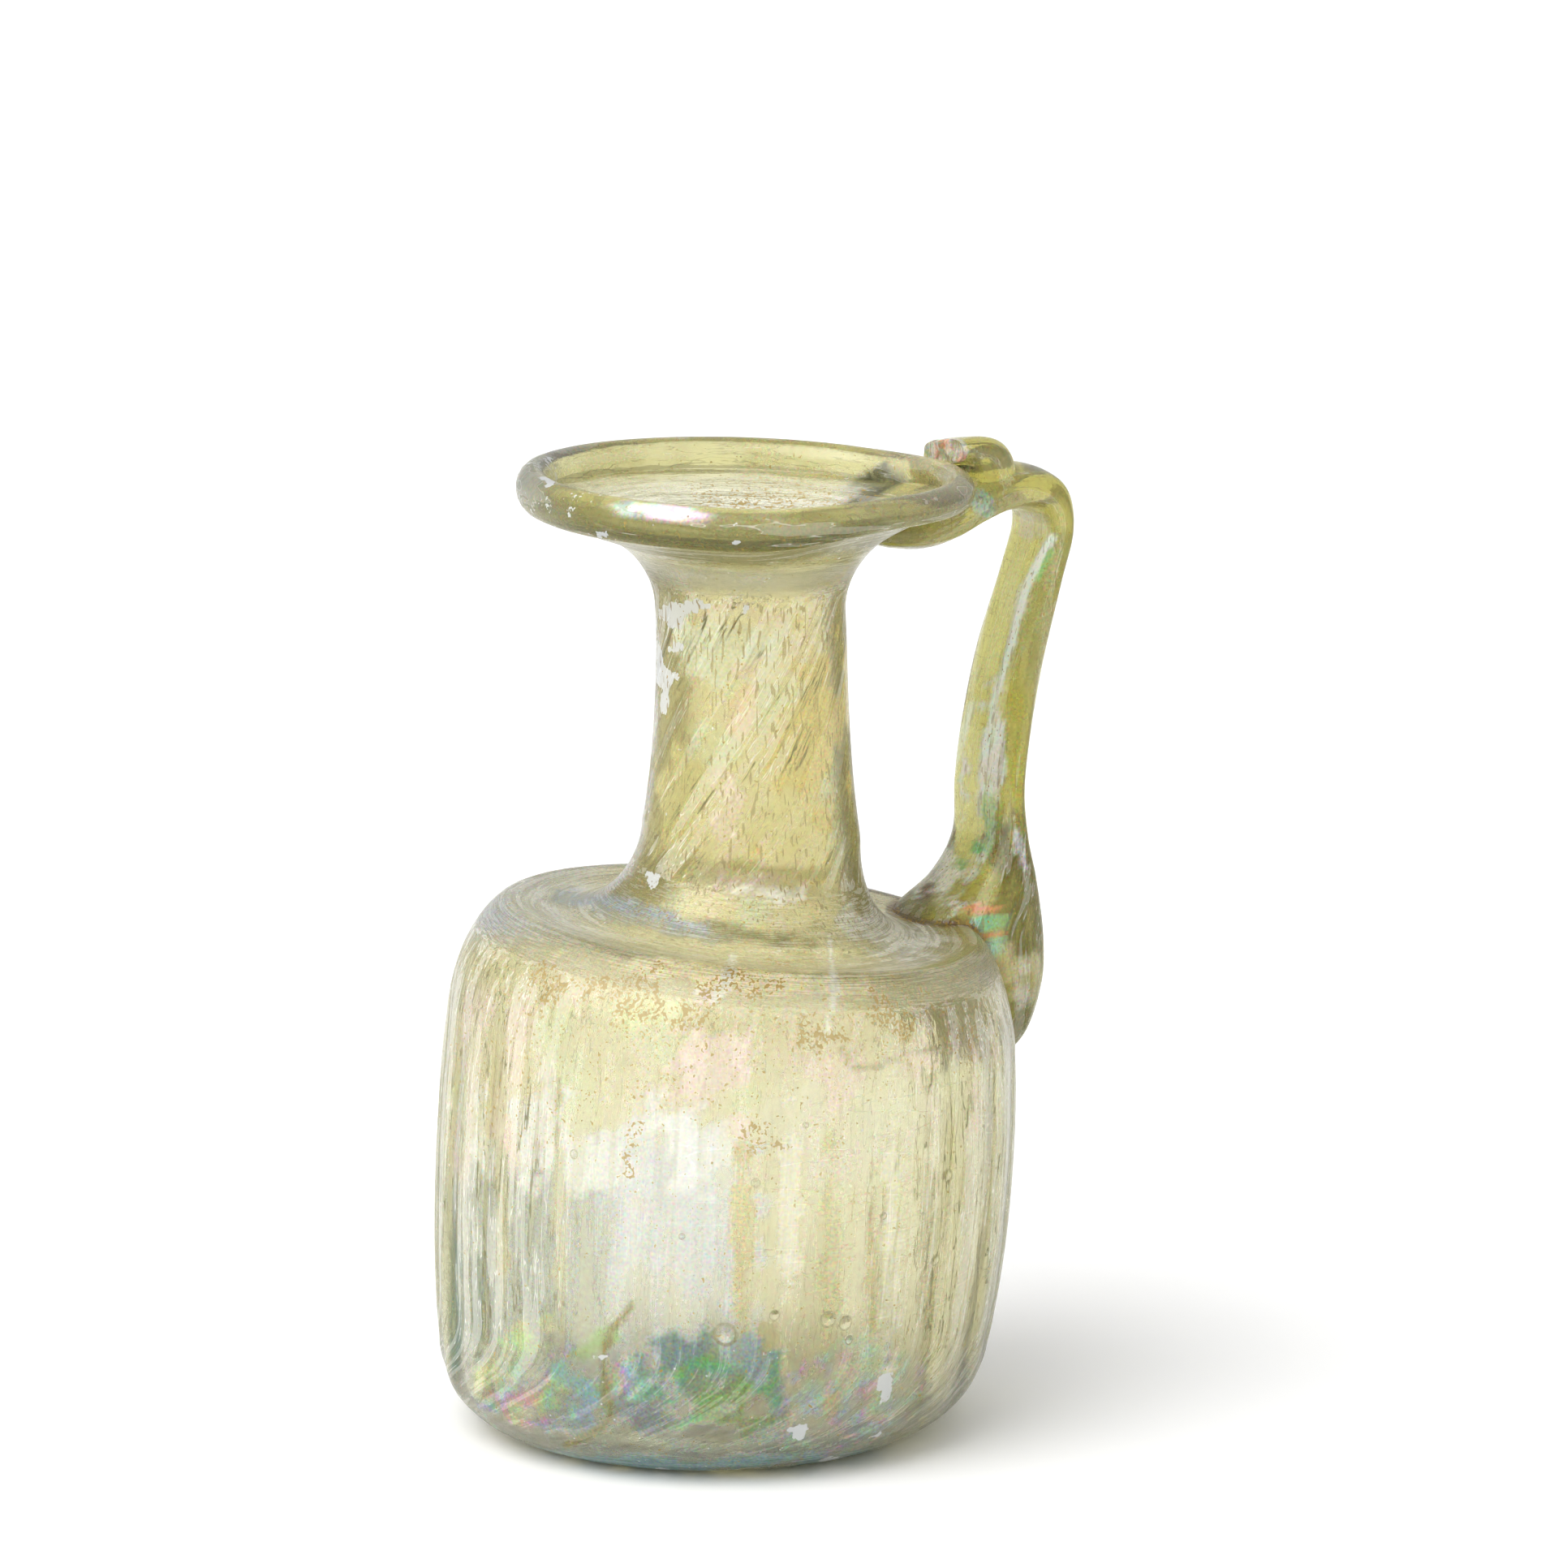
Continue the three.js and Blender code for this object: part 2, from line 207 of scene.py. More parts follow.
def hand_worked(radius, azimuth, height, outside):
    """How far hand work moves the surface from a true round: the ribs are cosine waves that drift
    and vary, under slow waves of the whole wall. Twisted lines on the heel, rings of the tool in
    the mouth and the broken ring left by the iron under the base are on one side of it only."""
    drift = 0.018 * np.sin(2 * azimuth + 0.6) + 0.010 * np.sin(5 * azimuth + 2)
    strength = eased(height, RIB_FOOT, RIB_FULL) * (1 - eased(height, RIB_FADE_START, RIB_FADE_END))
    strength = strength * (radius > FOOT_RADIUS)
    strength = strength * (0.8 + 0.2 * np.sin(3 * azimuth + 0.4))
    ribs = strength * np.cos(RIB_COUNT * (azimuth + drift))
    waves = 0.05 * np.sin(3 * azimuth + height / 9) + 0.04 * np.sin(4 * azimuth - height / 5 + 1)
    twist = azimuth * 9 - height * 0.9 + 2 * np.sin(azimuth * 2)
    heel = HEEL_LINE_RELIEF * np.sin(twist) * eased(height, 0.5, 3) * (1 - eased(height, 9, 15))
    heel = heel * (radius > KICK_RADIUS) * (0.5 + 0.5 * np.sin(azimuth * 2 + 1))
    tooled = TOOL_RING_RELIEF * np.sin(radius * 4.2 + 1.5 * np.sin(azimuth))
    tooled = tooled * (height > NECK_TOP_HEIGHT + 4)
    scar = np.exp(-(((radius - SCAR_RADIUS) / SCAR_WIDTH) ** 2)) * (height < KICK_HEIGHT + 1)
    scar = -SCAR_DEPTH * scar * (0.7 + 0.3 * np.sin(7 * azimuth) * np.sin(11 * azimuth + 1))
    across = np.where(outside, RIB_RELIEF * ribs + waves + heel, -RIB_RELIEF_INSIDE * ribs + waves + tooled)
    return across, np.where(outside, scar, 0)


def closed_mesh(name, points, faces, kinds):
    """An object from points in millimetres, with a material index for each face."""
    mesh = bpy.data.meshes.new(name)
    mesh.from_pydata((points * MM).tolist(), [], faces)
    for kind in ("outside", "inside", "handle"):
        mesh.materials.append(bpy.data.materials.get(kind) or bpy.data.materials.new(kind))
    mesh.polygons.foreach_set("material_index", kinds)
    made = bpy.data.objects.new(name, mesh)
    scene.collection.objects.link(made)
    return made


def ringed(rings, around, first, last):
    """Faces of a tube of rings that shrinks to one point at each end, their corners as indices:
    a fan at the first point, quads between the rings and a fan at the last point."""
    ring = np.arange(rings - 1)[:, None] * around
    step = np.arange(around)[None, :]
    after = (step + 1) % around
    quads = np.stack([ring + step, ring + after, ring + around + after, ring + around + step], -1)
    end = (rings - 1) * around
    start_fan = np.stack([np.full(around, first), after[0], step[0]], -1)
    end_fan = np.stack([np.full(around, last), end + step[0], end + after[0]], -1)
    return start_fan.tolist() + quads.reshape(-1, 4).tolist() + end_fan.tolist()


outline = np.vstack([
    wall_profile(0, 0, 0, 0),
    corner((RIM_RADIUS, RIM_HEIGHT), RIM_HALF_WIDTH, RIM_HALF_HEIGHT, 2, -100, 200, 60),
])
outer = np.vstack([evenly(outline[:KICK_STEPS], STEPS_PER_MM_UNDER)[:-1],
                   evenly(outline[KICK_STEPS - 1:], STEPS_PER_MM_OUTSIDE)])
inner = evenly(wall_profile(FLOOR_WALL, BODY_WALL, SHOULDER_WALL, NECK_WALL)[::-1], STEPS_PER_MM_INSIDE)
profile = np.vstack([outer, inner])
azimuth = np.linspace(0, 2 * np.pi, STEPS_AROUND, endpoint=False)[None, :]
ring_radius = profile[1:-1, 0:1]
ring_height = profile[1:-1, 1:2]
on_outside = (np.arange(1, len(profile) - 1) < len(outer))[:, None]
swelling, rising = hand_worked(ring_radius, azimuth, ring_height, on_outside)
swelling = swelling * eased(ring_radius, 2, 10)
walls = leaning(ring_radius + swelling, azimuth, ring_height + rising)
poles = leaning(np.zeros(2), np.zeros(2), profile[[0, -1], 1])
vessel_points = np.vstack([walls.reshape(-1, 3), poles])
rings = len(profile) - 2
vessel_faces = ringed(rings, STEPS_AROUND, rings * STEPS_AROUND, rings * STEPS_AROUND + 1)
face_ring = np.concatenate([[0] * STEPS_AROUND, np.repeat(np.arange(rings), STEPS_AROUND)])
vessel_kinds = np.where(face_ring < len(outer) - 2, OUTSIDE, INSIDE)
low, high = (np.array(corner_point) / MM for corner_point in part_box("vessel"))
foot = (low + high) / 2 - (vessel_points.min(0) + vessel_points.max(0)) / 2
foot[2] = 0
vessel = closed_mesh("vessel_form", vessel_points + foot, vessel_faces, vessel_kinds)

# The trailed handle
# One hot trail of glass: dropped on the shoulder and spread into a claw, drawn up as a strap, bent
# over, pressed on under the rim, folded up over it and snapped off, which left a rough stub.
HANDLE_PLANE = -2
HANDLE_SQUARENESS = 2.8
FOLD_ROLL = 0.17
STUB_ROUGHNESS = 0.55
STUB_STRIKES = [[29.8, -5.0, 112.9], [31.5, 0.4, 112.2], [29.6, -1.6, 110.4], [31.4, -3.4, 110.2]]
END_RINGS = [0.88, 0.74, 0.6, 0.46, 0.32, 0.18, 0.08]
STEPS_ROUND_TRAIL = 60
TRAIL_STEPS = 200
FOLD_STEPS = 44
TRAIL = [
    [32.6, 40.2, 35.2, 37.8, 3.2],
    [27.5, 45.5, 40.2, 42.3, 6.0],
    [24.5, 51.0, 42.3, 48.2, 7.2],
    [24.6, 56.8, 42.3, 54.5, 7.2],
    [30.8, 61.0, 41.1, 61.0, 6.7],
    [34.1, 65.5, 39.6, 66.5, 6.3],
    [34.5, 72.0, 39.1, 72.0, 6.1],
    [35.5, 79.5, 40.1, 78.8, 5.9],
    [37.4, 88.0, 41.7, 86.8, 5.7],
    [40.3, 97.0, 44.4, 95.8, 5.2],
    [41.8, 101.5, 46.0, 101.5, 5.2],
    [41.5, 103.6, 45.7, 105.8, 5.2],
    [39.8, 104.6, 43.3, 108.7, 5.4],
    [36.8, 104.5, 38.7, 109.9, 5.7],
    [33.2, 103.4, 33.2, 109.4, 6.0],
    [29.5, 102.0, 28.5, 108.0, 6.4],
    [25.5, 101.2, 24.5, 106.0, 6.2],
    [21.8, 101.5, 21.0, 104.5, 4.8],
    [19.3, 102.2, 19.0, 103.2, 2.5],
]
FOLD = [
    [30.0, 104.4, 35.5, 104.8, 5.2],
    [31.0, 107.0, 38.0, 107.0, 5.2],
    [31.3, 108.6, 38.4, 109.6, 5.0],
    [31.5, 109.8, 37.0, 112.0, 4.9],
    [31.3, 110.2, 34.3, 113.2, 4.7],
    [30.4, 110.2, 30.2, 113.2, 4.3],
]


def through(stations, count):
    """Catmull-Rom curve through the stations, with an even number of steps between them."""
    stations = np.array(stations, float)
    knots = np.vstack([2 * stations[0] - stations[1], stations, 2 * stations[-1] - stations[-2]])
    share = np.linspace(0, len(stations) - 1 - 1e-9, count)
    t = (share % 1)[:, None]
    a, b, c, d = (knots[share.astype(int) + k] for k in range(4))
    bend = 2 * a - 5 * b + 4 * c - d
    sway = 3 * b - a - 3 * c + d
    return 0.5 * (2 * b + (c - a) * t + bend * t**2 + sway * t**3)


def chipped(points, depth):
    """Depth of a shell-like break at these points: the highest of a few bowls, each a parabola
    about a point of its own, so that they meet in sharp edges."""
    strikes = np.array(STUB_STRIKES)
    reach = np.linalg.norm(points[..., None, :] - strikes, axis=-1)
    return depth * (reach**2 / 6 - 0.4 * np.sin(strikes[:, 1])).min(-1)


def trailed(name, stations, around, steps, roll, broken):
    """Superellipse sections between the inner and the outer line of the stations. The last ring
    shrinks to a point over a few rings, which a break dents by its depth along the trail."""
    line = through(stations, steps)
    angle = np.linspace(0, 2 * np.pi, around, endpoint=False)[None, :]
    depth = np.sign(np.cos(angle)) * np.abs(np.cos(angle)) ** (2 / HANDLE_SQUARENESS)
    breadth = np.sign(np.sin(angle)) * np.abs(np.sin(angle)) ** (2 / HANDLE_SQUARENESS)
    tooled = 1 + 0.012 * np.sin(7 * angle + 0.15 * np.arange(steps)[:, None])
    across = breadth * line[:, 4:5] * tooled
    middle = (line[:, 0:2] + line[:, 2:4]) / 2
    half = (line[:, 2:4] - line[:, 0:2]) / 2
    tube = np.stack([middle[:, 0:1] + half[:, 0:1] * depth * tooled, HANDLE_PLANE + across,
                     middle[:, 1:2] + half[:, 1:2] * depth * tooled - roll * across], axis=-1)
    share = np.array(END_RINGS)[:, None, None]
    heart = tube[-1].mean(0)
    cap = heart + (tube[-1] - heart) * share
    cap[..., 0] -= chipped(cap, broken)
    heart = heart - np.array([chipped(heart, broken), 0, 0])
    points = np.concatenate([tube, cap]).reshape(-1, 3)
    every = np.vstack([points, tube[0].mean(0), heart]) + foot
    faces = ringed(steps + len(share), around, len(points), len(points) + 1)
    return closed_mesh(name, every, faces, np.full(len(faces), HANDLE))


trail = trailed("trail_form", TRAIL, STEPS_ROUND_TRAIL, TRAIL_STEPS, 0, 0)
fold = trailed("fold_form", FOLD, STEPS_ROUND_TRAIL, FOLD_STEPS, FOLD_ROLL, STUB_ROUGHNESS)

# The fused jug
# On the real jug the trail has melted into the shoulder and the rim, so vessel and handle are one
# body of glass here too, and light crosses the joint with nothing between. The broken end of the
# trail, the joint's edge and the inside are marked for the finishes that lie on them.
SEAM_REACH = 2.2
NEAR_HANDLE = 3
SHARP_EDGE = 48
STUB_FACE_AT = 30.95
STUB_FACE_ABOVE = 109.2

for added in (trail, fold):
    union = vessel.modifiers.new("fused", "BOOLEAN")
    union.operation = "UNION"
    union.solver = "MANIFOLD"
    union.object = added
fused = vessel.evaluated_get(bpy.context.evaluated_depsgraph_get())
mesh = bpy.data.meshes.new_from_object(fused)
for form in (vessel, trail, fold):
    bpy.data.objects.remove(form)
mesh.name = "juglet_glass"
juglet = bpy.data.objects.new("juglet_glass", mesh)
scene.collection.objects.link(juglet)

points = np.empty(len(mesh.vertices) * 3)
mesh.vertices.foreach_get("co", points)
points = points.reshape(-1, 3)
kinds = np.empty(len(mesh.polygons), dtype=np.int32)
mesh.polygons.foreach_get("material_index", kinds)
sizes = np.empty(len(mesh.polygons), dtype=np.int32)
mesh.polygons.foreach_get("loop_total", sizes)
corners = np.empty(len(mesh.loops), dtype=np.int32)
mesh.loops.foreach_get("vertex_index", corners)
touched = np.zeros((len(points), 3), dtype=bool)
touched[corners, np.repeat(kinds, sizes)] = True
joint = touched[:, HANDLE] & (touched[:, OUTSIDE] | touched[:, INSIDE])
tree_of_joint = kdtree.KDTree(int(joint.sum()))
for index, place in enumerate(points[joint]):
    tree_of_joint.insert(place, index)
tree_of_joint.balance()
near = points[:, 0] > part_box("handle")[0][0] - NEAR_HANDLE * MM
from_joint = np.full(len(points), SEAM_REACH)
from_joint[near] = [tree_of_joint.find(place)[2] / MM for place in points[near]]
jug_points = points / MM - foot
on_stub = touched[:, HANDLE] & (jug_points[:, 0] < STUB_FACE_AT) & (jug_points[:, 2] > STUB_FACE_ABOVE)
cad_low, cad_high = np.array(cad_box)
own_low, own_high = points.min(0), points.max(0)
fitted = cad_low + (points - own_low) * (cad_high - cad_low) / (own_high - own_low)
mesh.vertices.foreach_set("co", fitted.ravel())
mesh.polygons.foreach_set("material_index", np.zeros(len(kinds), dtype=np.int32))
mesh.shade_smooth()
mesh.set_sharp_from_angle(angle=math.radians(SHARP_EDGE))
mesh.update()

# The weathering
# Centuries in the soil have left thin films on the glass: tan and pink residue on the upper body,
# a milky film lower down, white and rainbow flakes, crumbs of soil, and a brown line of dirt round
# the claw. Each lies where the photograph shows it, on what is turned to the viewer, and so a part
# of the film low on the body also lies on the hollow under the base.
# Some layers are painted light and not film: painted shade towards the edges of the body and the neck and in
# a dark band along the shoulder's crest, a painted dark patch inside the far side of the mouth, and painted
# highlights on the rim, the foot of the neck, the shoulder, the claw and the ridge of the handle.
VIEW_AZIMUTH = -30
VIEW_HEIGHT = 12.55
BODY_TOP = 57
NECK_TOP = 98
CLAW_UP_TO = 80
PRESSED_END_FROM = 90


def cloud(place, size, octaves=3, seed=0):
    """Fractal value noise from 0 to 1: hashed values on a cubic lattice of this size in mm, blended
    with smoothstep. Each further octave has half the size and half the weight."""
    total = np.zeros(len(place))
    for octave in range(octaves):
        spot = place / size * 2**octave + 17.3 * octave + 31.7 * seed + 1000
        cell = np.floor(spot).astype(np.int64)
        t = spot - cell
        t = t * t * (3 - 2 * t)
        value = np.zeros(len(place))
        for step in np.ndindex(2, 2, 2):
            x, y, z = (cell + step).T
            mixed = (x * 73856093) ^ (y * 19349663) ^ (z * 83492791)
            mixed = ((mixed ^ (mixed >> 13)) * 1274126177) & 0xFFFFFFFF
            share = np.where(step, t, 1 - t).prod(-1)
            value += share * ((mixed ^ (mixed >> 15)) & 0xFFFF) / 0xFFFF
        total += value / 2**octave
    return eased(total / (2 - 0.5 ** (octaves - 1)), 0.22, 0.78)


def colour(red, green, blue):
    """Linear light of a colour that is given as the eye sees it, from 0 to 255."""
    return np.array([((part / 255 + 0.055) / 1.055) ** 2.4 for part in (red, green, blue)])


def rainbow(turn, strength):
    """Colours of a thin film as its thickness turns through a whole wave: cosines a third of a
    turn apart for red, green and blue, over a pale grey that takes one minus the strength."""
    waves = 0.5 + 0.5 * np.cos(2 * np.pi * (turn[:, None] + np.array([0.0, 0.36, 0.70])))
    return colour(205, 208, 200) * (1 - strength) + waves * strength


def patch(across, rise, half_width, half_height, ragged=0.5, turned=0):
    """1 inside an oval of this size in mm and 0 outside, its edge moved in and out by the noise.
    The place is where the viewer sees it, right of and above the middle of the base."""
    a, b = seen_across - across, seen_rise - rise
    turn = math.radians(turned)
    along = (a * math.cos(turn) + b * math.sin(turn)) / half_width
    beside = (b * math.cos(turn) - a * math.sin(turn)) / half_height
    return 1 - eased(np.hypot(along, beside) + ragged * (rough - 0.5) * 2, 0.75, 1.25)


def stroke(route, half_width, ragged=0.3):
    """1 along a broken line through these seen places in mm, and 0 beyond half a width of it."""
    nearest = np.full(len(points), 1e3)
    for (x0, y0), (x1, y1) in zip(route[:-1], route[1:]):
        run = (x1 - x0) ** 2 + (y1 - y0) ** 2
        share = np.clip(((seen_across - x0) * (x1 - x0) + (seen_rise - y0) * (y1 - y0)) / run, 0, 1)
        off = np.hypot(seen_across - x0 - share * (x1 - x0), seen_rise - y0 - share * (y1 - y0))
        nearest = np.minimum(nearest, off)
    return 1 - eased(nearest / half_width + ragged * (rough - 0.5), 0.6, 1.4)


def band(value, low, high, soft):
    """1 between low and high, with soft edges of this width."""
    return eased(value, low - soft, low + soft) * (1 - eased(value, high - soft, high + soft))


def upright_again(places):
    """Radius, azimuth and height that these points had before the jug was made to lean: the height
    is found by three rounds of taking the lean off and reading how much there is at that height."""
    toward = np.array([math.cos(math.radians(LEAN_AZIMUTH)), math.sin(math.radians(LEAN_AZIMUTH))])
    height = places[:, 2]
    for _ in range(3):
        shift, slope = lean_at(height)
        flat = places[:, :2] - shift[:, None] * toward
        height = places[:, 2] + flat @ toward * slope
    return np.hypot(*flat.T), np.arctan2(flat[:, 1], flat[:, 0]), height


def flow_on_vessel(radius, azimuth, height):
    """Coordinates in mm that are drawn out the way the glass has flowed, for streaks to follow:
    upright on the body, twisted on the heel and the neck, and round the shoulder, mouth and base."""
    round_shoulder = band(height, 58, 66, 2) * eased(radius, 13, 18)
    ringed_part = np.maximum.reduce([round_shoulder, eased(height, 99, 103), 1 - eased(height, 1.5, 4)])
    twist = 0.0036 * np.maximum(0, 16 - height) ** 2 - 0.052 * np.clip(height - 60, 0, 40)
    reach = radius * (1 - ringed_part) + 3.2 * ringed_part
    along = 0.06 * height * (1 - ringed_part) + (height + radius) * ringed_part
    return np.stack([reach * np.cos(azimuth + twist), reach * np.sin(azimuth + twist), along], axis=-1)


def flow_on_trail(places):
    """The same along the trail: the offset in depth and breadth from the nearest section's middle,
    and the length along the trail, shortened so that streaks run lengthwise."""
    line = np.vstack([through(TRAIL, 150), through(FOLD, 40)])
    middle = (line[:, 0:2] + line[:, 2:4]) / 2
    ahead = np.gradient(middle, axis=0)
    ahead /= np.linalg.norm(ahead, axis=1)[:, None]
    length = np.concatenate([[0], np.cumsum(np.linalg.norm(np.diff(middle, axis=0), axis=1))])
    seen = places[:, [0, 2]]
    nearest = np.linalg.norm(seen[:, None, :] - middle[None, :, :], axis=-1).argmin(1)
    off = seen - middle[nearest]
    beside = off[:, 0] * ahead[nearest, 1] - off[:, 1] * ahead[nearest, 0]
    along = length[nearest] + (off * ahead[nearest]).sum(1)
    return np.stack([beside + 50, places[:, 1], 0.06 * along], axis=-1)


class FilmAndPaintedLight:
    """Films and painted light at each point of the glass: colour, how much it hides, and how it shines."""

    def __init__(self, count, tint, cover, sheen):
        self.tint = np.tile(tint, (count, 1))
        self.cover = np.full(count, float(cover))
        self.sheen = np.full(count, float(sheen))

    def lay(self, mask, tint, cover, sheen=0):
        """Lays another film over this one where the mask is 1, and mixes the two below 1."""
        self.tint += (tint - self.tint) * mask[:, None]
        self.cover += (cover - self.cover) * mask
        self.sheen += (sheen - self.sheen) * mask

    def lay_patches(self, where, patches):
        """Lays a film in each of these ovals: across, rise, half width, half height, raggedness and
        turn in degrees, then the film's colour, how much it hides and its sheen."""
        for across, rise, half_width, half_height, ragged, turned, tint, cover, sheen in patches:
            self.lay(where * patch(across, rise, half_width, half_height, ragged, turned),
                     colour(*tint), cover, sheen)

    def lay_strokes(self, where, strokes):
        """Lays a film along each of these lines: its route, half width and raggedness, then the
        film's colour, how much it hides and its sheen."""
        for route, half_width, ragged, tint, cover, sheen in strokes:
            self.lay(where * stroke(route, half_width, ragged), colour(*tint), cover, sheen)


normals = np.empty(len(points) * 3)
mesh.vertex_normals.foreach_get("vector", normals)
normals = normals.reshape(-1, 3)
turn, tilt = math.radians(VIEW_AZIMUTH), math.radians(VIEW_HEIGHT)
to_viewer = np.array([math.sin(turn) * math.cos(tilt), -math.cos(turn) * math.cos(tilt), math.sin(tilt)])
to_right = np.array([math.cos(turn), math.sin(turn), 0])
upward = np.cross(to_viewer, to_right)
seen_across = jug_points @ to_right
seen_rise = jug_points @ upward
radius, azimuth, height = upright_again(jug_points)
facing = eased(normals @ to_viewer, -0.15, 0.25)
inside = (touched[:, INSIDE] & ~touched[:, OUTSIDE]).astype(float)
on_handle = (touched[:, HANDLE] & ~joint).astype(float)
outside = (1 - inside) * (1 - on_handle)
front = outside * facing
rough = cloud(jug_points, size=3.0, octaves=3, seed=1)
blotch = cloud(jug_points, size=7, octaves=3, seed=2)
wide = cloud(jug_points, size=16, octaves=2, seed=3)
upright = cloud(jug_points * [1, 1, 0.1], size=2.2, octaves=2, seed=4)
on_body = outside * (1 - eased(height, BODY_TOP - 4, BODY_TOP + 4))
on_neck = outside * eased(height, BODY_TOP, BODY_TOP + 5) * (1 - eased(height, NECK_TOP, NECK_TOP + 4))
on_rim = outside * eased(height, NECK_TOP + 3, NECK_TOP + 6)
shoulder = outside * band(height, BODY_TOP - 5, BODY_TOP + 3, 2) * eased(radius, 13, 17)
toward_viewer = math.radians(VIEW_AZIMUTH - 90)
sideways = np.sin(azimuth - toward_viewer)
near_side = eased(np.cos(azimuth - toward_viewer), -0.3, 0.3)

film_and_painted_light = FilmAndPaintedLight(len(points), tint=colour(206, 204, 184), cover=0.12, sheen=0.1)
milk, tan, pink = colour(190, 196, 206), colour(206, 195, 168), colour(224, 198, 192)
sage, straw, frost = colour(200, 210, 176), colour(206, 192, 142), colour(186, 192, 200)
olive, deep_olive = colour(150, 144, 88), colour(112, 108, 52)
tide = seen_rise + 7 * (blotch - 0.5) + 4 * (rough - 0.5) - 0.10 * (seen_across + 5)
residue = on_body * eased(tide, 30, 40)
film_and_painted_light.lay(residue * (0.7 + 0.3 * wide), tan, 0.38)
film_and_painted_light.lay((residue + on_body * band(tide, 20, 36, 5)) * eased(rough * wide, 0.28, 0.42), pink, 0.36)
film_and_painted_light.lay(residue * eased(cloud(jug_points, 5, 2, 5), 0.62, 0.8), sage, 0.32)
low_milk = on_body * (1 - eased(tide, 28, 36)) * eased(height, 4, 16)
film_and_painted_light.lay(low_milk * (0.55 + 0.45 * upright), milk, 0.36)
milky_heart = front * patch(-4.5, 27, 10, 12, 0.9) * (1 - residue)
film_and_painted_light.lay(milky_heart * (0.6 + 0.4 * upright), colour(194, 200, 212), 0.48)
film_and_painted_light.lay(front * low_milk * eased(seen_across + 4 * (rough - 0.5), 4.6, 6.2), colour(196, 186, 140), 0.32)
film_and_painted_light.lay(front * low_milk * eased(-seen_across + 5 * (upright - 0.5), 9, 19), colour(128, 138, 136), 0.54)
film_and_painted_light.lay(on_body * (1 - eased(height, 3, 12)) * eased(blotch, 0.1, 0.6), colour(152, 158, 144), 0.44, 0.2)
# Painted shade: the body darkens towards its left and right edges, where the glass is seen edge-on.
body_edge_shade = on_body * facing * eased(np.abs(sideways), 0.78, 0.96)
film_and_painted_light.lay(body_edge_shade * eased(upright, 0.2, 0.7), colour(142, 142, 118), 0.5)
film_and_painted_light.lay(on_body * facing * eased(np.abs(sideways), 0.90, 0.99), colour(122, 124, 98), 0.6)
film_and_painted_light.lay(on_neck * (0.6 + 0.4 * blotch), straw, 0.38)
film_and_painted_light.lay(outside * facing * band(height, 86, 103, 5) * eased(blotch, 0.1, 0.7), colour(224, 222, 202), 0.42)
film_and_painted_light.lay(on_neck * band(blotch, 0.55, 0.75, 0.08) * eased(rough, 0.2, 0.5), pink, 0.38)
film_and_painted_light.lay(on_neck * eased(cloud(jug_points, 6, 2, 15), 0.6, 0.8), sage, 0.38)
# Painted shade: the neck darkens towards its left and right edges, where the glass is seen edge-on.
film_and_painted_light.lay(on_neck * eased(np.abs(sideways), 0.66, 0.92), colour(112, 104, 48), 0.64)
film_and_painted_light.lay(on_neck * facing * eased(-sideways, 0.45, 0.75), colour(106, 100, 46), 0.64)
film_and_painted_light.lay(on_neck * eased(-sideways, 0.93, 0.99) * eased(rough, 0.3, 0.6), colour(178, 178, 182), 0.5, 0.2)
film_and_painted_light.lay(on_rim * near_side * (0.6 + 0.4 * blotch), olive, 0.42)
film_and_painted_light.lay(on_rim * (1 - near_side) * eased(blotch, 0.2, 0.8), colour(176, 168, 118), 0.40)
rim_face = band(height, RIM_HEIGHT - 2.4, RIM_HEIGHT + 1.6, 0.7)
film_and_painted_light.lay(on_rim * near_side * facing * rim_face, colour(104, 102, 50), 0.66)
film_and_painted_light.lay(outside * band(radius, 15.5, 23, 1.2) * band(height, 103, 107.5, 0.8), deep_olive, 0.62)
rim_left = front * on_rim * (1 - eased(seen_across, -20, -13))
film_and_painted_light.lay(rim_left * eased(rough, 0, 0.4), colour(120, 122, 104), 0.58, 0.2)
film_and_painted_light.lay(shoulder * facing * (0.6 + 0.4 * blotch), colour(176, 168, 118), 0.42)
left_crest = (1 - eased(seen_across, -19, -8)) * eased(seen_rise, 54, 58)
film_and_painted_light.lay(shoulder * facing * left_crest, frost, 0.52, 0.2)
film_and_painted_light.lay(inside * facing * eased(height, NECK_TOP, NECK_TOP + 6), colour(228, 228, 220), 0.28)

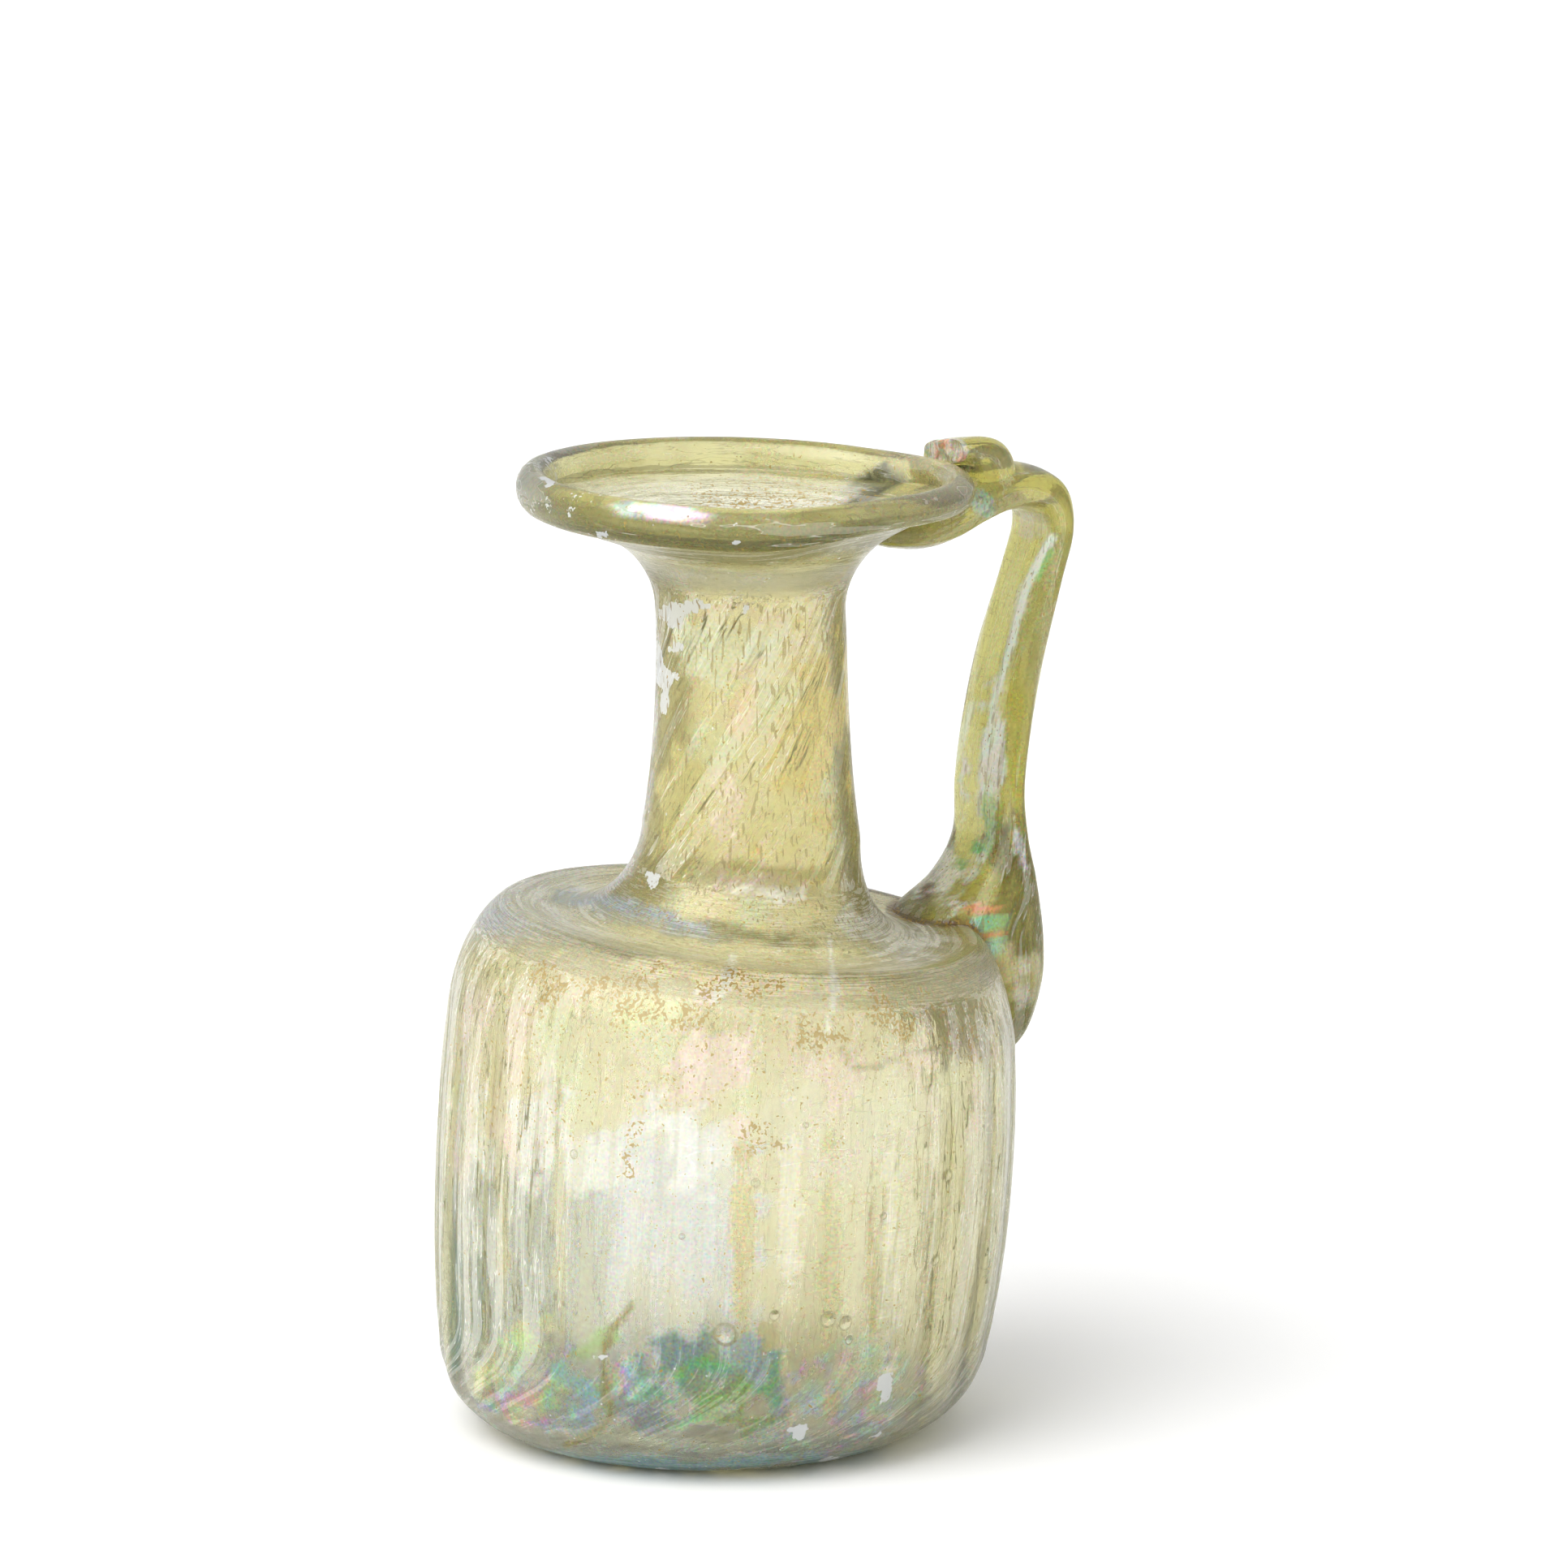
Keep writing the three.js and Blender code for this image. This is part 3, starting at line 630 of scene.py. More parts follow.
teal_shade, plum, spring = (104, 138, 140), (140, 124, 152), (72, 138, 66)
film_and_painted_light.lay_patches(front, [
    [1.4, 89.1, 5.2, 4.4, 0.6, 0, (216, 226, 204), 0.50, 0.1],
    [3.5, 81.3, 1.3, 3.4, 0.6, -20, (226, 196, 166), 0.46, 0],
    [2.4, 69.9, 2.2, 3.4, 0.7, -10, (230, 208, 200), 0.46, 0],
    [11.5, 77, 3.6, 12, 0.8, -8, (206, 182, 104), 0.44, 0],
    [-3.7, 71.4, 2.1, 6.9, 0.7, 0, (176, 168, 104), 0.46, 0],
    # A painted highlight at the foot of the neck.
    [6.3, 61.2, 3.6, 1.5, 0.6, 0, (236, 234, 222), 0.6, 0],
    [6.8, 63.7, 6.4, 0.8, 0.6, -3, (158, 150, 92), 0.48, 0],
    # Painted shade: the dark band along the shoulder's crest.
    [3.6, 56.3, 11.4, 1.0, 0.4, -9, (112, 110, 58), 0.72, 0],
    [-10, 58.2, 9.0, 0.9, 0.5, -14, (136, 142, 136), 0.55, 0.2],
    # A painted highlight on the curve of the shoulder.
    [0, 50.2, 2.0, 1.4, 0.7, 0, (232, 230, 216), 0.55, 0],
    [0, 41.7, 3.8, 5.6, 0.9, 0, (230, 206, 202), 0.46, 0],
    [3.1, 35.5, 2.4, 3.0, 0.8, 0, (230, 208, 202), 0.46, 0],
    [-5.7, 47.5, 3.4, 1.6, 0.7, 0, (198, 206, 142), 0.42, 0],
    [19, 50, 8, 4.5, 0.7, -20, (170, 160, 104), 0.46, 0],
    [-16.4, 33.5, 7.6, 4.6, 0.9, 0, (214, 216, 214), 0.50, 0],
    [-0.2, 32.8, 3.6, 4.0, 0.9, 0, (226, 228, 226), 0.58, 0],
    [-29.3, 13.4, 1.0, 8, 0.3, 0, (74, 104, 86), 0.76, 0.2],
    [-26.2, 12.3, 0.8, 6.4, 0.3, 0, (84, 104, 90), 0.74, 0.2],
    [-18.2, 10.7, 0.8, 4.0, 0.3, 4, (110, 116, 108), 0.74, 0.2],
    [-23.4, 24, 0.7, 14, 0.4, 0, (150, 146, 104), 0.56, 0],
    [-16.8, 24, 0.8, 15, 0.4, 1, (158, 154, 118), 0.50, 0],
    [3.8, 22, 1.1, 12, 0.6, 0, (186, 172, 116), 0.50, 0],
    [9.0, 24, 1.0, 13, 0.6, 0, (226, 222, 196), 0.50, 0],
    [13.6, 20, 1.0, 14, 0.6, 0, (184, 174, 118), 0.50, 0],
    [18.3, 20, 0.7, 10, 0.5, 0, (176, 160, 94), 0.60, 0],
    [20.6, 22, 1.1, 16, 0.5, -1, (228, 224, 196), 0.50, 0],
    [29.4, 22, 0.6, 14, 0.5, -1, (170, 160, 100), 0.60, 0],
    [24.8, 22, 0.9, 16, 0.5, -1, (168, 158, 104), 0.56, 0],
    [-22.5, 7.6, 2.4, 4.2, 0.8, -20, (188, 200, 138), 0.45, 0.2],
    [-13.4, 9.4, 3.2, 1.6, 0.7, 35, (134, 186, 112), 0.50, 0.3],
    [-14.8, 4.2, 3.6, 3.4, 0.7, 0, (128, 140, 142), 0.60, 0.3],
    [20.5, 57.0, 4.8, 1.6, 0.4, -12, (232, 231, 226), 0.74, 0],
    [21.4, 56.0, 5.4, 2.0, 0.5, -16, (214, 212, 198), 0.62, 0],
    [3.0, 51.7, 16.0, 1.4, 0.4, -6, (212, 202, 156), 0.72, 0],
])
hues = rainbow(1.5 * cloud(jug_points, 4.6, 3, 6) + 0.04 * height, 0.62)
low_sheen = [
    [14, 4, 9, 6, 0.9, 0, hues * 0.4 + 0.22, 0.42, 0.2],
    [-21.0, 9.5, 3.6, 4.0, 0.8, 30, hues * 0.25 + colour(160, 190, 110) * 0.7, 0.52, 0.2],
    [-16.4, 5.0, 5.4, 4.2, 0.6, 20, hues * 0.30 + colour(104, 124, 132) * 0.7, 0.76, 0.3],
    [-21.0, 2.4, 5.0, 2.6, 0.9, 20, hues * 0.55 + 0.08, 0.60, 0.3],
    [0.5, 5.4, 8.4, 5.8, 0.5, 0, hues * 0.14 + colour(*spring) * 0.74, 0.86, 0.1],
    [-4.0, 9.4, 3.6, 1.6, 0.6, 10, colour(96, 122, 122), 0.84, 0.2],
    [3.4, 8.6, 3.0, 2.4, 0.8, 0, colour(128, 150, 152), 0.72, 0.3],
    [3.6, 1.6, 4.0, 2.0, 0.8, 0, colour(118, 134, 84), 0.80, 0.1],
    [-10.2, 4.2, 2.4, 3.6, 0.6, 0, hues * 0.40 + colour(*plum) * 0.45, 0.82, 0.2],
    [-7.4, 1.6, 3.4, 1.6, 0.7, 0, colour(112, 120, 122), 0.78, 0.2],
]
for across, rise, half_width, half_height, ragged, turned, tint, cover, sheen in low_sheen:
    spot = patch(across, rise, half_width, half_height, ragged, turned)
    film_and_painted_light.lay(front * spot * eased(rough, 0.0, 0.3), tint, cover, sheen)
heel_edge = outside * near_side * band(seen_rise, -7, -2.6, 0.8)
film_and_painted_light.lay(heel_edge * eased(rough, 0.1, 0.4), colour(*teal_shade), 0.82, 0.2)
stem = [[-8.6, 14.5], [-11.0, 11.5], [-11.9, 8.5], [-11.6, 3.5], [-11.0, 1.6], [-12.4, 0.2], [-16.2, -1.8]]
tide_line = [[14.7, 43.5], [16.5, 41.3], [19.5, 41.6], [21.4, 42.4], [26, 43.4], [29, 43.1], [29.9, 42.2]]
film_and_painted_light.lay_strokes(front, [
    [stem, 0.55, 0.3, (122, 116, 62), 0.66, 0.1],
    [tide_line, 0.35, 0.3, (158, 146, 112), 0.6, 0],
    [[[-17.3, 60.9], [-9, 59.4], [-0.9, 56.9]], 0.8, 0.8, (134, 148, 158), 0.72, 0.2],
    [[[13.8, 55.5], [14.2, 50], [13.4, 45.3]], 0.4, 0.8, (226, 226, 214), 0.5, 0],
    [[[2.7, 53.8], [2.0, 51], [0.9, 48.9]], 0.5, 0.8, (228, 228, 216), 0.5, 0],
])
# An iridescent film on the front of the rim, with a painted highlight laid in it.
rim_sheen_and_highlight = rainbow(1.6 * cloud(jug_points, 2.6, 2, 8), 0.36) + 0.32
film_and_painted_light.lay(front * patch(-4.4, 103.4, 5.6, 1.0, 0.15, -7), rim_sheen_and_highlight, 0.90, 0.1)
# Painted shade: a dark patch and line inside the far side of the mouth, standing in for the handle's dark
# pressed end seen through the wall.
far_mouth = (inside + on_rim * facing) * (1 - 0.8 * near_side)
film_and_painted_light.lay(far_mouth * patch(19.2, 107.0, 4.2, 3.2, 0.1, 20), colour(88, 92, 72), 0.80)
film_and_painted_light.lay(far_mouth * stroke([[16.0, 105.4], [17.6, 108.4], [20.4, 110.2]], 0.8), colour(46, 52, 38), 0.8)

handle_front = on_handle * facing
trail_way = flow_on_trail(jug_points)
film_and_painted_light.lay(on_handle * (0.6 + 0.4 * blotch), colour(156, 152, 58), 0.40, 0.1)
film_and_painted_light.lay(handle_front * (1 - eased(seen_rise, 56, 70)), colour(108, 106, 36), 0.62, 0.1)
# Painted highlight along the ridge of the strap: first a broad pale band, later white strokes and a green
# stroke at its top, tinted by the iridescent film.
ridge_highlight = [[40.0, 102.2], [36.6, 96], [35.2, 90], [33.5, 84], [32.2, 77], [31.4, 70], [31.4, 64],
         [31.7, 59], [33.0, 53.6]]
film_and_painted_light.lay(handle_front * stroke(ridge_highlight, 2.3, 0.8) * eased(upright, 0.2, 0.6), colour(196, 196, 148), 0.42, 0.1)
sheeny = rainbow(1.7 * cloud(jug_points * [1, 1, 0.45], 2.0, 3, 9) + 0.05 * seen_rise, 0.42) + 0.13
silvery, greenish = sheeny * 0.16 + colour(228, 238, 226) * 0.9, sheeny * 0.3 + colour(170, 224, 160) * 0.6
inner_edge = [[30.8, 83.0], [28.4, 75], [27.2, 66], [24.6, 60.4]]
film_and_painted_light.lay(handle_front * stroke(inner_edge, 0.5, 0.4), silvery, 0.6, 0.2)
outer_edge = [[34.6, 79.6], [33.8, 72], [34.6, 64]]
film_and_painted_light.lay(handle_front * stroke(outer_edge, 0.5, 0.4), colour(188, 190, 120), 0.6, 0.1)
strap_sheen = sheeny * 0.25 + colour(222, 228, 220) * 0.84
film_and_painted_light.lay(handle_front * patch(32.3, 75.8, 1.7, 6.6, 0.9, -4), strap_sheen, 0.80, 0.1)
film_and_painted_light.lay(handle_front * patch(32.6, 68.4, 0.8, 3.6, 0.9, 0), greenish, 0.66, 0.1)
# A painted highlight on the claw, tinted like the iridescent film.
film_and_painted_light.lay(handle_front * patch(30.0, 62.6, 3.0, 2.6, 0.9, 30), sheeny * 0.3 + 0.50, 0.80, 0.1)
# Painted highlight: white strokes along the ridge and a green stroke at its top.
film_and_painted_light.lay(handle_front * stroke(ridge_highlight[:5], 0.42, 0.2), silvery, 0.95, 0)
film_and_painted_light.lay(handle_front * stroke(ridge_highlight[:3], 0.62, 0.4), silvery, 0.95, 0)
film_and_painted_light.lay(handle_front * stroke([[39.8, 100.6], [38.4, 97.6]], 0.36, 0.3), colour(160, 226, 150), 0.6, 0)
film_and_painted_light.lay_patches(handle_front, [
    [37.6, 103.6, 1.9, 1.7, 0.4, 0, (218, 212, 192), 0.66, 0],
    [31.8, 106.4, 1.2, 1.5, 0.7, 0, (150, 176, 156), 0.66, 0.3],
    [27.4, 62.4, 3.8, 2.6, 0.8, 25, (222, 222, 206), 0.72, 0],
    [36.2, 61.0, 3.4, 9.6, 0.4, 0, (98, 94, 20), 0.95, 0],
    [36.0, 76.0, 0.9, 10, 0.5, 0, (160, 156, 56), 0.60, 0],
    [34.6, 52.6, 2.2, 1.5, 0.8, -40, (176, 168, 140), 0.66, 0.1],
    [36.8, 49.8, 1.0, 2.4, 0.9, -20, (176, 170, 148), 0.7, 0],
    [32.0, 57.4, 1.7, 0.7, 0.8, 10, (104, 200, 160), 0.80, 0.1],
    [31.6, 59.2, 1.7, 0.5, 0.6, 0, (236, 146, 112), 0.82, 0.1],
    [32.4, 56.0, 1.2, 0.5, 0.6, 0, (236, 160, 120), 0.80, 0.1],
    [32.8, 54.6, 1.0, 0.9, 0.6, 0, (140, 216, 196), 0.80, 0.2],
    [31.0, 66.6, 0.8, 1.1, 0.6, 0, (96, 186, 110), 0.80, 0.1],
    [29.6, 64.4, 0.7, 1.0, 0.6, 0, (90, 170, 100), 0.76, 0.1],
    [36.4, 66.0, 0.5, 2.2, 0.4, 15, (206, 208, 208), 0.70, 0.2],
    [25.4, 60.9, 0.6, 1.3, 0.6, -30, (104, 74, 40), 0.80, 0],
])
film_and_painted_light.lay(on_stub * (0.7 + 0.3 * rough), colour(200, 198, 192), 0.80)
film_and_painted_light.lay(on_stub * eased(cloud(jug_points, 1.5, 3, 11), 0.50, 0.62), colour(190, 138, 110), 0.9)
seam = 1 - eased(from_joint, 0, SEAM_REACH)
caked = eased(cloud(jug_points, 2, 2, 12) + 0.3 * (height < 60), 0.1, 0.4)
dirt = (1 - eased(from_joint, 0.3, 1.1)) * facing * (1 - inside) * caked
film_and_painted_light.lay(dirt * (height < CLAW_UP_TO), colour(92, 54, 22), 0.88)
dusty_seam = seam * (height > PRESSED_END_FROM) * (1 - inside)
film_and_painted_light.lay(dusty_seam * eased(rough, 0.4, 0.7), colour(150, 140, 104), 0.5)

flakes = [
    [-1.5, 93.4, 2.9, 0.8, 8], [-4.0, 92.3, 1.2, 1.0, 0], [-4.4, 88.6, 1.0, 0.5, 10],
    [-4.6, 85.6, 1.6, 0.6, 0], [-5.3, 87.4, 0.5, 2.4, 10], [-5.0, 82.6, 0.5, 0.9, 0],
    [-6.3, 62.4, 0.7, 1.6, 10], [-6.0, 70.3, 0.9, 0.5, 0], [4.3, 93.0, 1.3, 1.4, 0],
    [10.3, 0.3, 0.9, 0.9, 0], [20.1, 4.5, 1.0, 1.2, 0], [20.9, -0.7, 1.3, 0.5, 0],
    [-5.2, -4.6, 1.0, 0.4, 0], [13.8, -3.9, 1.4, 0.4, 0], [-12.2, 8.7, 0.8, 0.9, 0],
    [-18.0, 107.6, 0.8, 0.5, 0], [-12.0, 101.0, 0.4, 0.2, 0], [3.2, 99.9, 0.5, 0.2, 0],
]
flaked = sum(patch(*flake[:4], 0.7, flake[4]) for flake in flakes)
flaked = flaked * facing * (1 - inside)
flaked = flaked + 0.30 * outside * eased(cloud(jug_points, 2.4, 2, 13), 0.72, 1)
flaked = flaked + 0.24 * front * on_rim * (1 - eased(seen_across, -18, -6))
crumbs = [[-7.3, 50, 3.0, 2.6], [-0.6, 47, 4.2, 1.6], [12, 45.3, 3.6, 2.6], [20.3, 47.5, 2.8, 2.8],
          [-15, 51, 4, 1.6], [4, 51.5, 5, 1.4], [5.2, 34.5, 2.6, 2.2], [-8.6, 32.4, 0.9, 2.6],
          [29.7, 43.8, 0.45, 1.9]]
crumbly = front * np.minimum(1, sum(patch(*crumb, 0.9) for crumb in crumbs)) + dirt
crumbly = crumbly + 0.30 * residue + 1.1 * (1 - front) * facing * patch(8, 107, 9, 2.2, 0.8)
soil = 0.8 * residue + 0.9 * on_neck + 0.8 * on_rim + 0.6 * inside + 0.9 * on_handle + 0.4 * low_milk
flare = outside * band(height, 94, 106, 2)
pitted = 0.75 * on_neck + 0.5 * on_handle + 0.2 * residue + 0.1 * flare
threaded = front * patch(17, 31, 14, 14, 0.8) + 0.5 * on_handle
body_combing = 0.8 * on_body * eased(np.abs(sideways), 0.35, 0.85) * (0.45 + 0.55 * eased(height, 8, 20))
neck_combing = 0.15 + 0.6 * eased(cloud(jug_points, 8, 2, 21), 0.3, 0.8)
combed = 0.28 + body_combing + 0.2 * shoulder + 0.25 * on_handle
combed = combed + on_neck * neck_combing + 0.25 * on_rim + 0.25 * flare + 0.2 * inside
gritty = front * patch(-2, 1, 20, 7, 0.4) + 0.8 * on_rim * facing * (1 - eased(seen_across, -14, 4))
bubbles = [[2.0, 11.2, 1.25], [13.2, 12.7, 0.9], [15.3, 12.7, 0.85], [15.7, 10.3, 0.5], [7.2, 13.6, 0.6],
           [27.0, 28.8, 0.75], [5.2, 28.1, 0.5], [25.9, 19.4, 0.6], [3.6, 7.8, 0.6], [-14.9, 31.4, 0.5],
           [19.5, 24.6, 0.4], [24.4, 24.2, 0.5], [10.8, 35.2, 0.35], [-3.2, 22.4, 0.35]]
way = np.where(on_handle[:, None] > 0.5, trail_way, flow_on_vessel(radius, azimuth, height))

glass_tint = np.tile(colour(248, 247, 236), (len(points), 1))
glass_tint += (colour(234, 226, 180) - glass_tint) * (on_neck + 0.4 * residue)[:, None].clip(0, 1)
glass_tint += (colour(206, 200, 140) - glass_tint) * (on_rim * facing)[:, None]
glass_tint += (colour(216, 212, 142) - glass_tint) * on_handle[:, None]

layers = {"cover": film_and_painted_light.cover, "sheen": film_and_painted_light.sheen, "flaked": flaked, "soil": soil, "crumbly": crumbly,
          "threaded": threaded, "combed": combed, "pitted": pitted, "gritty": gritty}
for name, values in layers.items():
    layer = mesh.attributes.new(name, "FLOAT", "POINT")
    layer.data.foreach_set("value", np.asarray(values, dtype=np.float32))
for name, values in {"film_and_painted_light_tint": film_and_painted_light.tint, "glass_tint": glass_tint}.items():
    layer = mesh.attributes.new(name, "FLOAT_COLOR", "POINT")
    values = np.column_stack([np.clip(values, 0, 1), np.ones(len(points))])
    layer.data.foreach_set("color", values.astype(np.float32).ravel())
layer = mesh.attributes.new("way", "FLOAT_VECTOR", "POINT")
layer.data.foreach_set("vector", way.astype(np.float32).ravel())


class Socket:
    """One output of a material's nodes. Operators on it add Math nodes, and node adds any other."""

    def __init__(self, tree, output=None):
        self.tree = tree
        self.output = output

    def node(self, kind, settings, values, output=0):
        """A new node: its settings first, then the value or the link of each named socket."""
        made = self.tree.nodes.new(kind)
        for name, value in settings.items():
            setattr(made, name, value)
        for name, value in values.items():
            if isinstance(value, Socket):
                self.tree.links.new(value.output, made.inputs[name])
            else:
                made.inputs[name].default_value = value
        return Socket(self.tree, made.outputs[output])

    def beside(self, output):
        """Another output of the same node."""
        return Socket(self.tree, self.output.node.outputs[output])

    def math(self, operation, first, second):
        return self.node("ShaderNodeMath", {"operation": operation}, {0: first, 1: second})

    def __add__(self, other):
        return self.math("ADD", self, other)

    def __radd__(self, other):
        return self.math("ADD", other, self)

    def __sub__(self, other):
        return self.math("SUBTRACT", self, other)

    def __rsub__(self, other):
        return self.math("SUBTRACT", other, self)

    def __mul__(self, other):
        return self.math("MULTIPLY", self, other)

    def __rmul__(self, other):
        return self.math("MULTIPLY", other, self)

    def over(self, other):
        """The larger of the two."""
        return self.math("MAXIMUM", self, other)

    def line(self, level, half_width):
        """1 along the thin line where this passes the level, 0 beyond half a width of it."""
        return 1 - self.math("ABSOLUTE", self - level, 0).eased(half_width * 0.35, half_width)

    def eased(self, low, high):
        """0 up to low, 1 from high, and smoothstep between."""
        limits = {"Value": self, "From Min": low, "From Max": high}
        return self.node("ShaderNodeMapRange", {"interpolation_type": "SMOOTHSTEP"}, limits)

    def blend(self, first, second):
        """The first colour where this is 0, the second where it is 1."""
        return self.node("ShaderNodeMix", {"data_type": "RGBA"}, {0: self, 6: first, 7: second}, 2)


GRAIN_SCALE = 1500
GRIT_SCALE = 3000
PIT_SCALE = 3300
CELL_SCALE = 900
THREAD_SCALE = 420
STRAND_SCALE = 0.55
PALE_FIBRE = (0.80, 0.79, 0.72, 1)
OLIVE_FIBRE = (0.30, 0.28, 0.14, 1)
LIGHT_LINE = (0.82, 0.82, 0.77, 1)
DARK_LINE = (0.16, 0.15, 0.07, 1)
FLAKE_WHITE = (0.62, 0.64, 0.66, 1)
CRUMB_BROWN = (0.34, 0.215, 0.055, 1)
SPECK_BROWN = (0.22, 0.14, 0.06, 1)
GRIT_OVERLAY = 0.6
WHITE_HIDES = 0.75
SOIL_HIDES = 0.66
BUBBLE_EDGE_HIDES = 0.45
FAR_FROM_BUBBLES = 9
GLASS_IOR = 1.5
GLASS_PASSES = (0.71, 0.675, 0.10, 1)
GLASS_DENSITY = 140

glass = bpy.data.materials.new("weathered_glass")
glass.use_nodes = True
glass.node_tree.nodes.clear()
start = Socket(glass.node_tree)


def mark(name, output=2):
    """A mark that was worked out for each point of the mesh."""
    return start.node("ShaderNodeAttribute", {"attribute_name": name}, {}, output)


def scaled(vector, x, y, z):
    """The vector with each part multiplied by its own factor."""
    return start.node("ShaderNodeVectorMath", {"operation": "MULTIPLY"}, {0: vector, 1: (x, y, z)})


place = start.node("ShaderNodeTexCoord", {}, {}, "Object")
from_within = start.node("ShaderNodeNewGeometry", {}, {}, "Backfacing")
grain = start.node("ShaderNodeTexNoise", {}, {"Vector": place, "Scale": GRAIN_SCALE, "Detail": 2.0}, "Fac")
grit = start.node("ShaderNodeTexNoise", {}, {"Vector": place, "Scale": GRIT_SCALE, "Detail": 0.0}, "Color")
grit_part = start.node("ShaderNodeSeparateColor", {}, {0: grit}, 1)
strand_form = {"Vector": mark("way", 1), "Scale": STRAND_SCALE, "Detail": 3.0, "Roughness": 0.62}
strands = start.node("ShaderNodeTexNoise", {}, strand_form, "Fac")
thread_form = {"Vector": scaled(place, 0.14, 0.14, 1), "Scale": THREAD_SCALE, "Detail": 1.0}
threads = start.node("ShaderNodeTexNoise", {}, thread_form, "Fac").line(0.5, 0.022) * mark("threaded")
pit_form = {"Vector": scaled(place, 1, 1, 0.16), "Scale": PIT_SCALE, "Detail": 0.0}
pits = start.node("ShaderNodeTexNoise", {}, pit_form, "Fac").eased(0.665, 0.71) * mark("pitted")
cell = start.node("ShaderNodeTexVoronoi", {}, {"Vector": place, "Scale": CELL_SCALE}, "Distance")
pick = start.node("ShaderNodeSeparateColor", {}, {0: cell.beside("Color")}, 0)
from_bubble = FAR_FROM_BUBBLES
for across, rise, size in bubbles:
    off = np.hypot(seen_across - across, seen_rise - rise) + 99 * (front < 0.5)
    centre = tuple(fitted[off.argmin()])
    reach = start.node("ShaderNodeVectorMath", {"operation": "DISTANCE"}, {0: place, 1: centre}, "Value")
    from_bubble = start.math("MINIMUM", from_bubble, reach * (1 / (size * MM)))
bubble_edge = from_bubble.line(1.0, 0.24)
bubble_dome = 1 - from_bubble.eased(0.1, 1.0)
cover = mark("cover")
combed = mark("combed")
fibres = strands.eased(0.36, 0.64)
light_lines = strands.line(0.56, 0.008) * combed
dark_lines = strands.line(0.46, 0.012) * combed
flaked = (mark("flaked") + (grain - 0.5) * 1.5).eased(0.55, 0.62)
crumbs = (mark("crumbly") * 0.13 + grain * 0.5 + grit_part * 0.5).eased(0.655, 0.70)
speck = (1 - cell.eased(0.09, 0.15)) * pick.eased(0.74, 0.76) * mark("soil")
white_grit = (1 - cell.eased(0.08, 0.14)) * (1 - pick.eased(0.22, 0.24)) * mark("gritty")
specked = speck.over(pits)
white = flaked.over(white_grit)
tint = start.node("ShaderNodeMix", {"data_type": "RGBA", "blend_type": "OVERLAY"},
                  {0: GRIT_OVERLAY, 6: mark("film_and_painted_light_tint", 0), 7: grit}, 2)
tint = ((fibres - 0.5) * combed * 0.9).blend(tint, PALE_FIBRE)
tint = ((0.5 - fibres) * combed * 0.9).blend(tint, OLIVE_FIBRE)
tint = (light_lines * 0.7).blend(tint, LIGHT_LINE)
tint = dark_lines.over(bubble_edge * 0.7).blend(tint, DARK_LINE)
tint = white.blend(tint, FLAKE_WHITE)
tint = crumbs.blend(tint, CRUMB_BROWN)
tint = specked.blend(tint, SPECK_BROWN)
hidden = cover * (0.50 + 0.66 * grain + 0.32 * fibres)
hidden = hidden + light_lines * 0.22 + dark_lines * 0.5 + threads * 0.18
hidden = hidden.over(white * WHITE_HIDES).over(crumbs.over(specked) * SOIL_HIDES)
hidden = hidden.over(bubble_edge * BUBBLE_EDGE_HIDES) * (1 - from_within)
relief = strands * combed * 0.16 + grain * 0.014 + bubble_dome * 0.14 - pits * 0.02
bump = start.node("ShaderNodeBump", {}, {"Strength": 1.0, "Distance": MM, "Height": relief}, "Normal")
clear = start.node("ShaderNodeBsdfPrincipled", {}, {
    "Base Color": mark("glass_tint", 0), "Roughness": 0.03 + cover * 0.25, "IOR": GLASS_IOR,
    "Transmission Weight": 1, "Normal": bump})
crust_and_painted_light = start.node("ShaderNodeBsdfPrincipled", {}, {
    "Base Color": tint, "Roughness": 0.42, "Metallic": mark("sheen"), "Specular IOR Level": 0.25,
    "Normal": bump})
surface = start.node("ShaderNodeMixShader", {}, {0: hidden, 1: clear, 2: crust_and_painted_light})
absorbing = start.node("ShaderNodeVolumeAbsorption", {}, {"Color": GLASS_PASSES, "Density": GLASS_DENSITY})
output = glass.node_tree.nodes.new("ShaderNodeOutputMaterial")
glass.node_tree.links.new(surface.output, output.inputs["Surface"])
glass.node_tree.links.new(absorbing.output, output.inputs["Volume"])
mesh.materials.clear()
mesh.materials.append(glass)
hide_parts("vessel", "handle")
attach(juglet, "root")

# The studio
# The jug stands on a wide sheet of white paper under a white sky. The sky glows softly on the upper
# left, which gives the faint shadow on the right. The camera looks down a little.
FLOOR_REACH = 8
SKY = 0.74
KEY_SIDE = -50
KEY_HEIGHT = 48
KEY_CORE = 10
KEY_EDGE = 38
KEY_GLOW = 3.7
PAPER_WHITE = 0.96
VIEW_DISTANCE = 1000
TARGET_HEIGHT = 60
AIM_RIGHT = 8.7
AIM_UP = 15.0
FOCAL_LENGTH = 199.2
SENSOR_WIDTH = 36
BOUNCES = 20

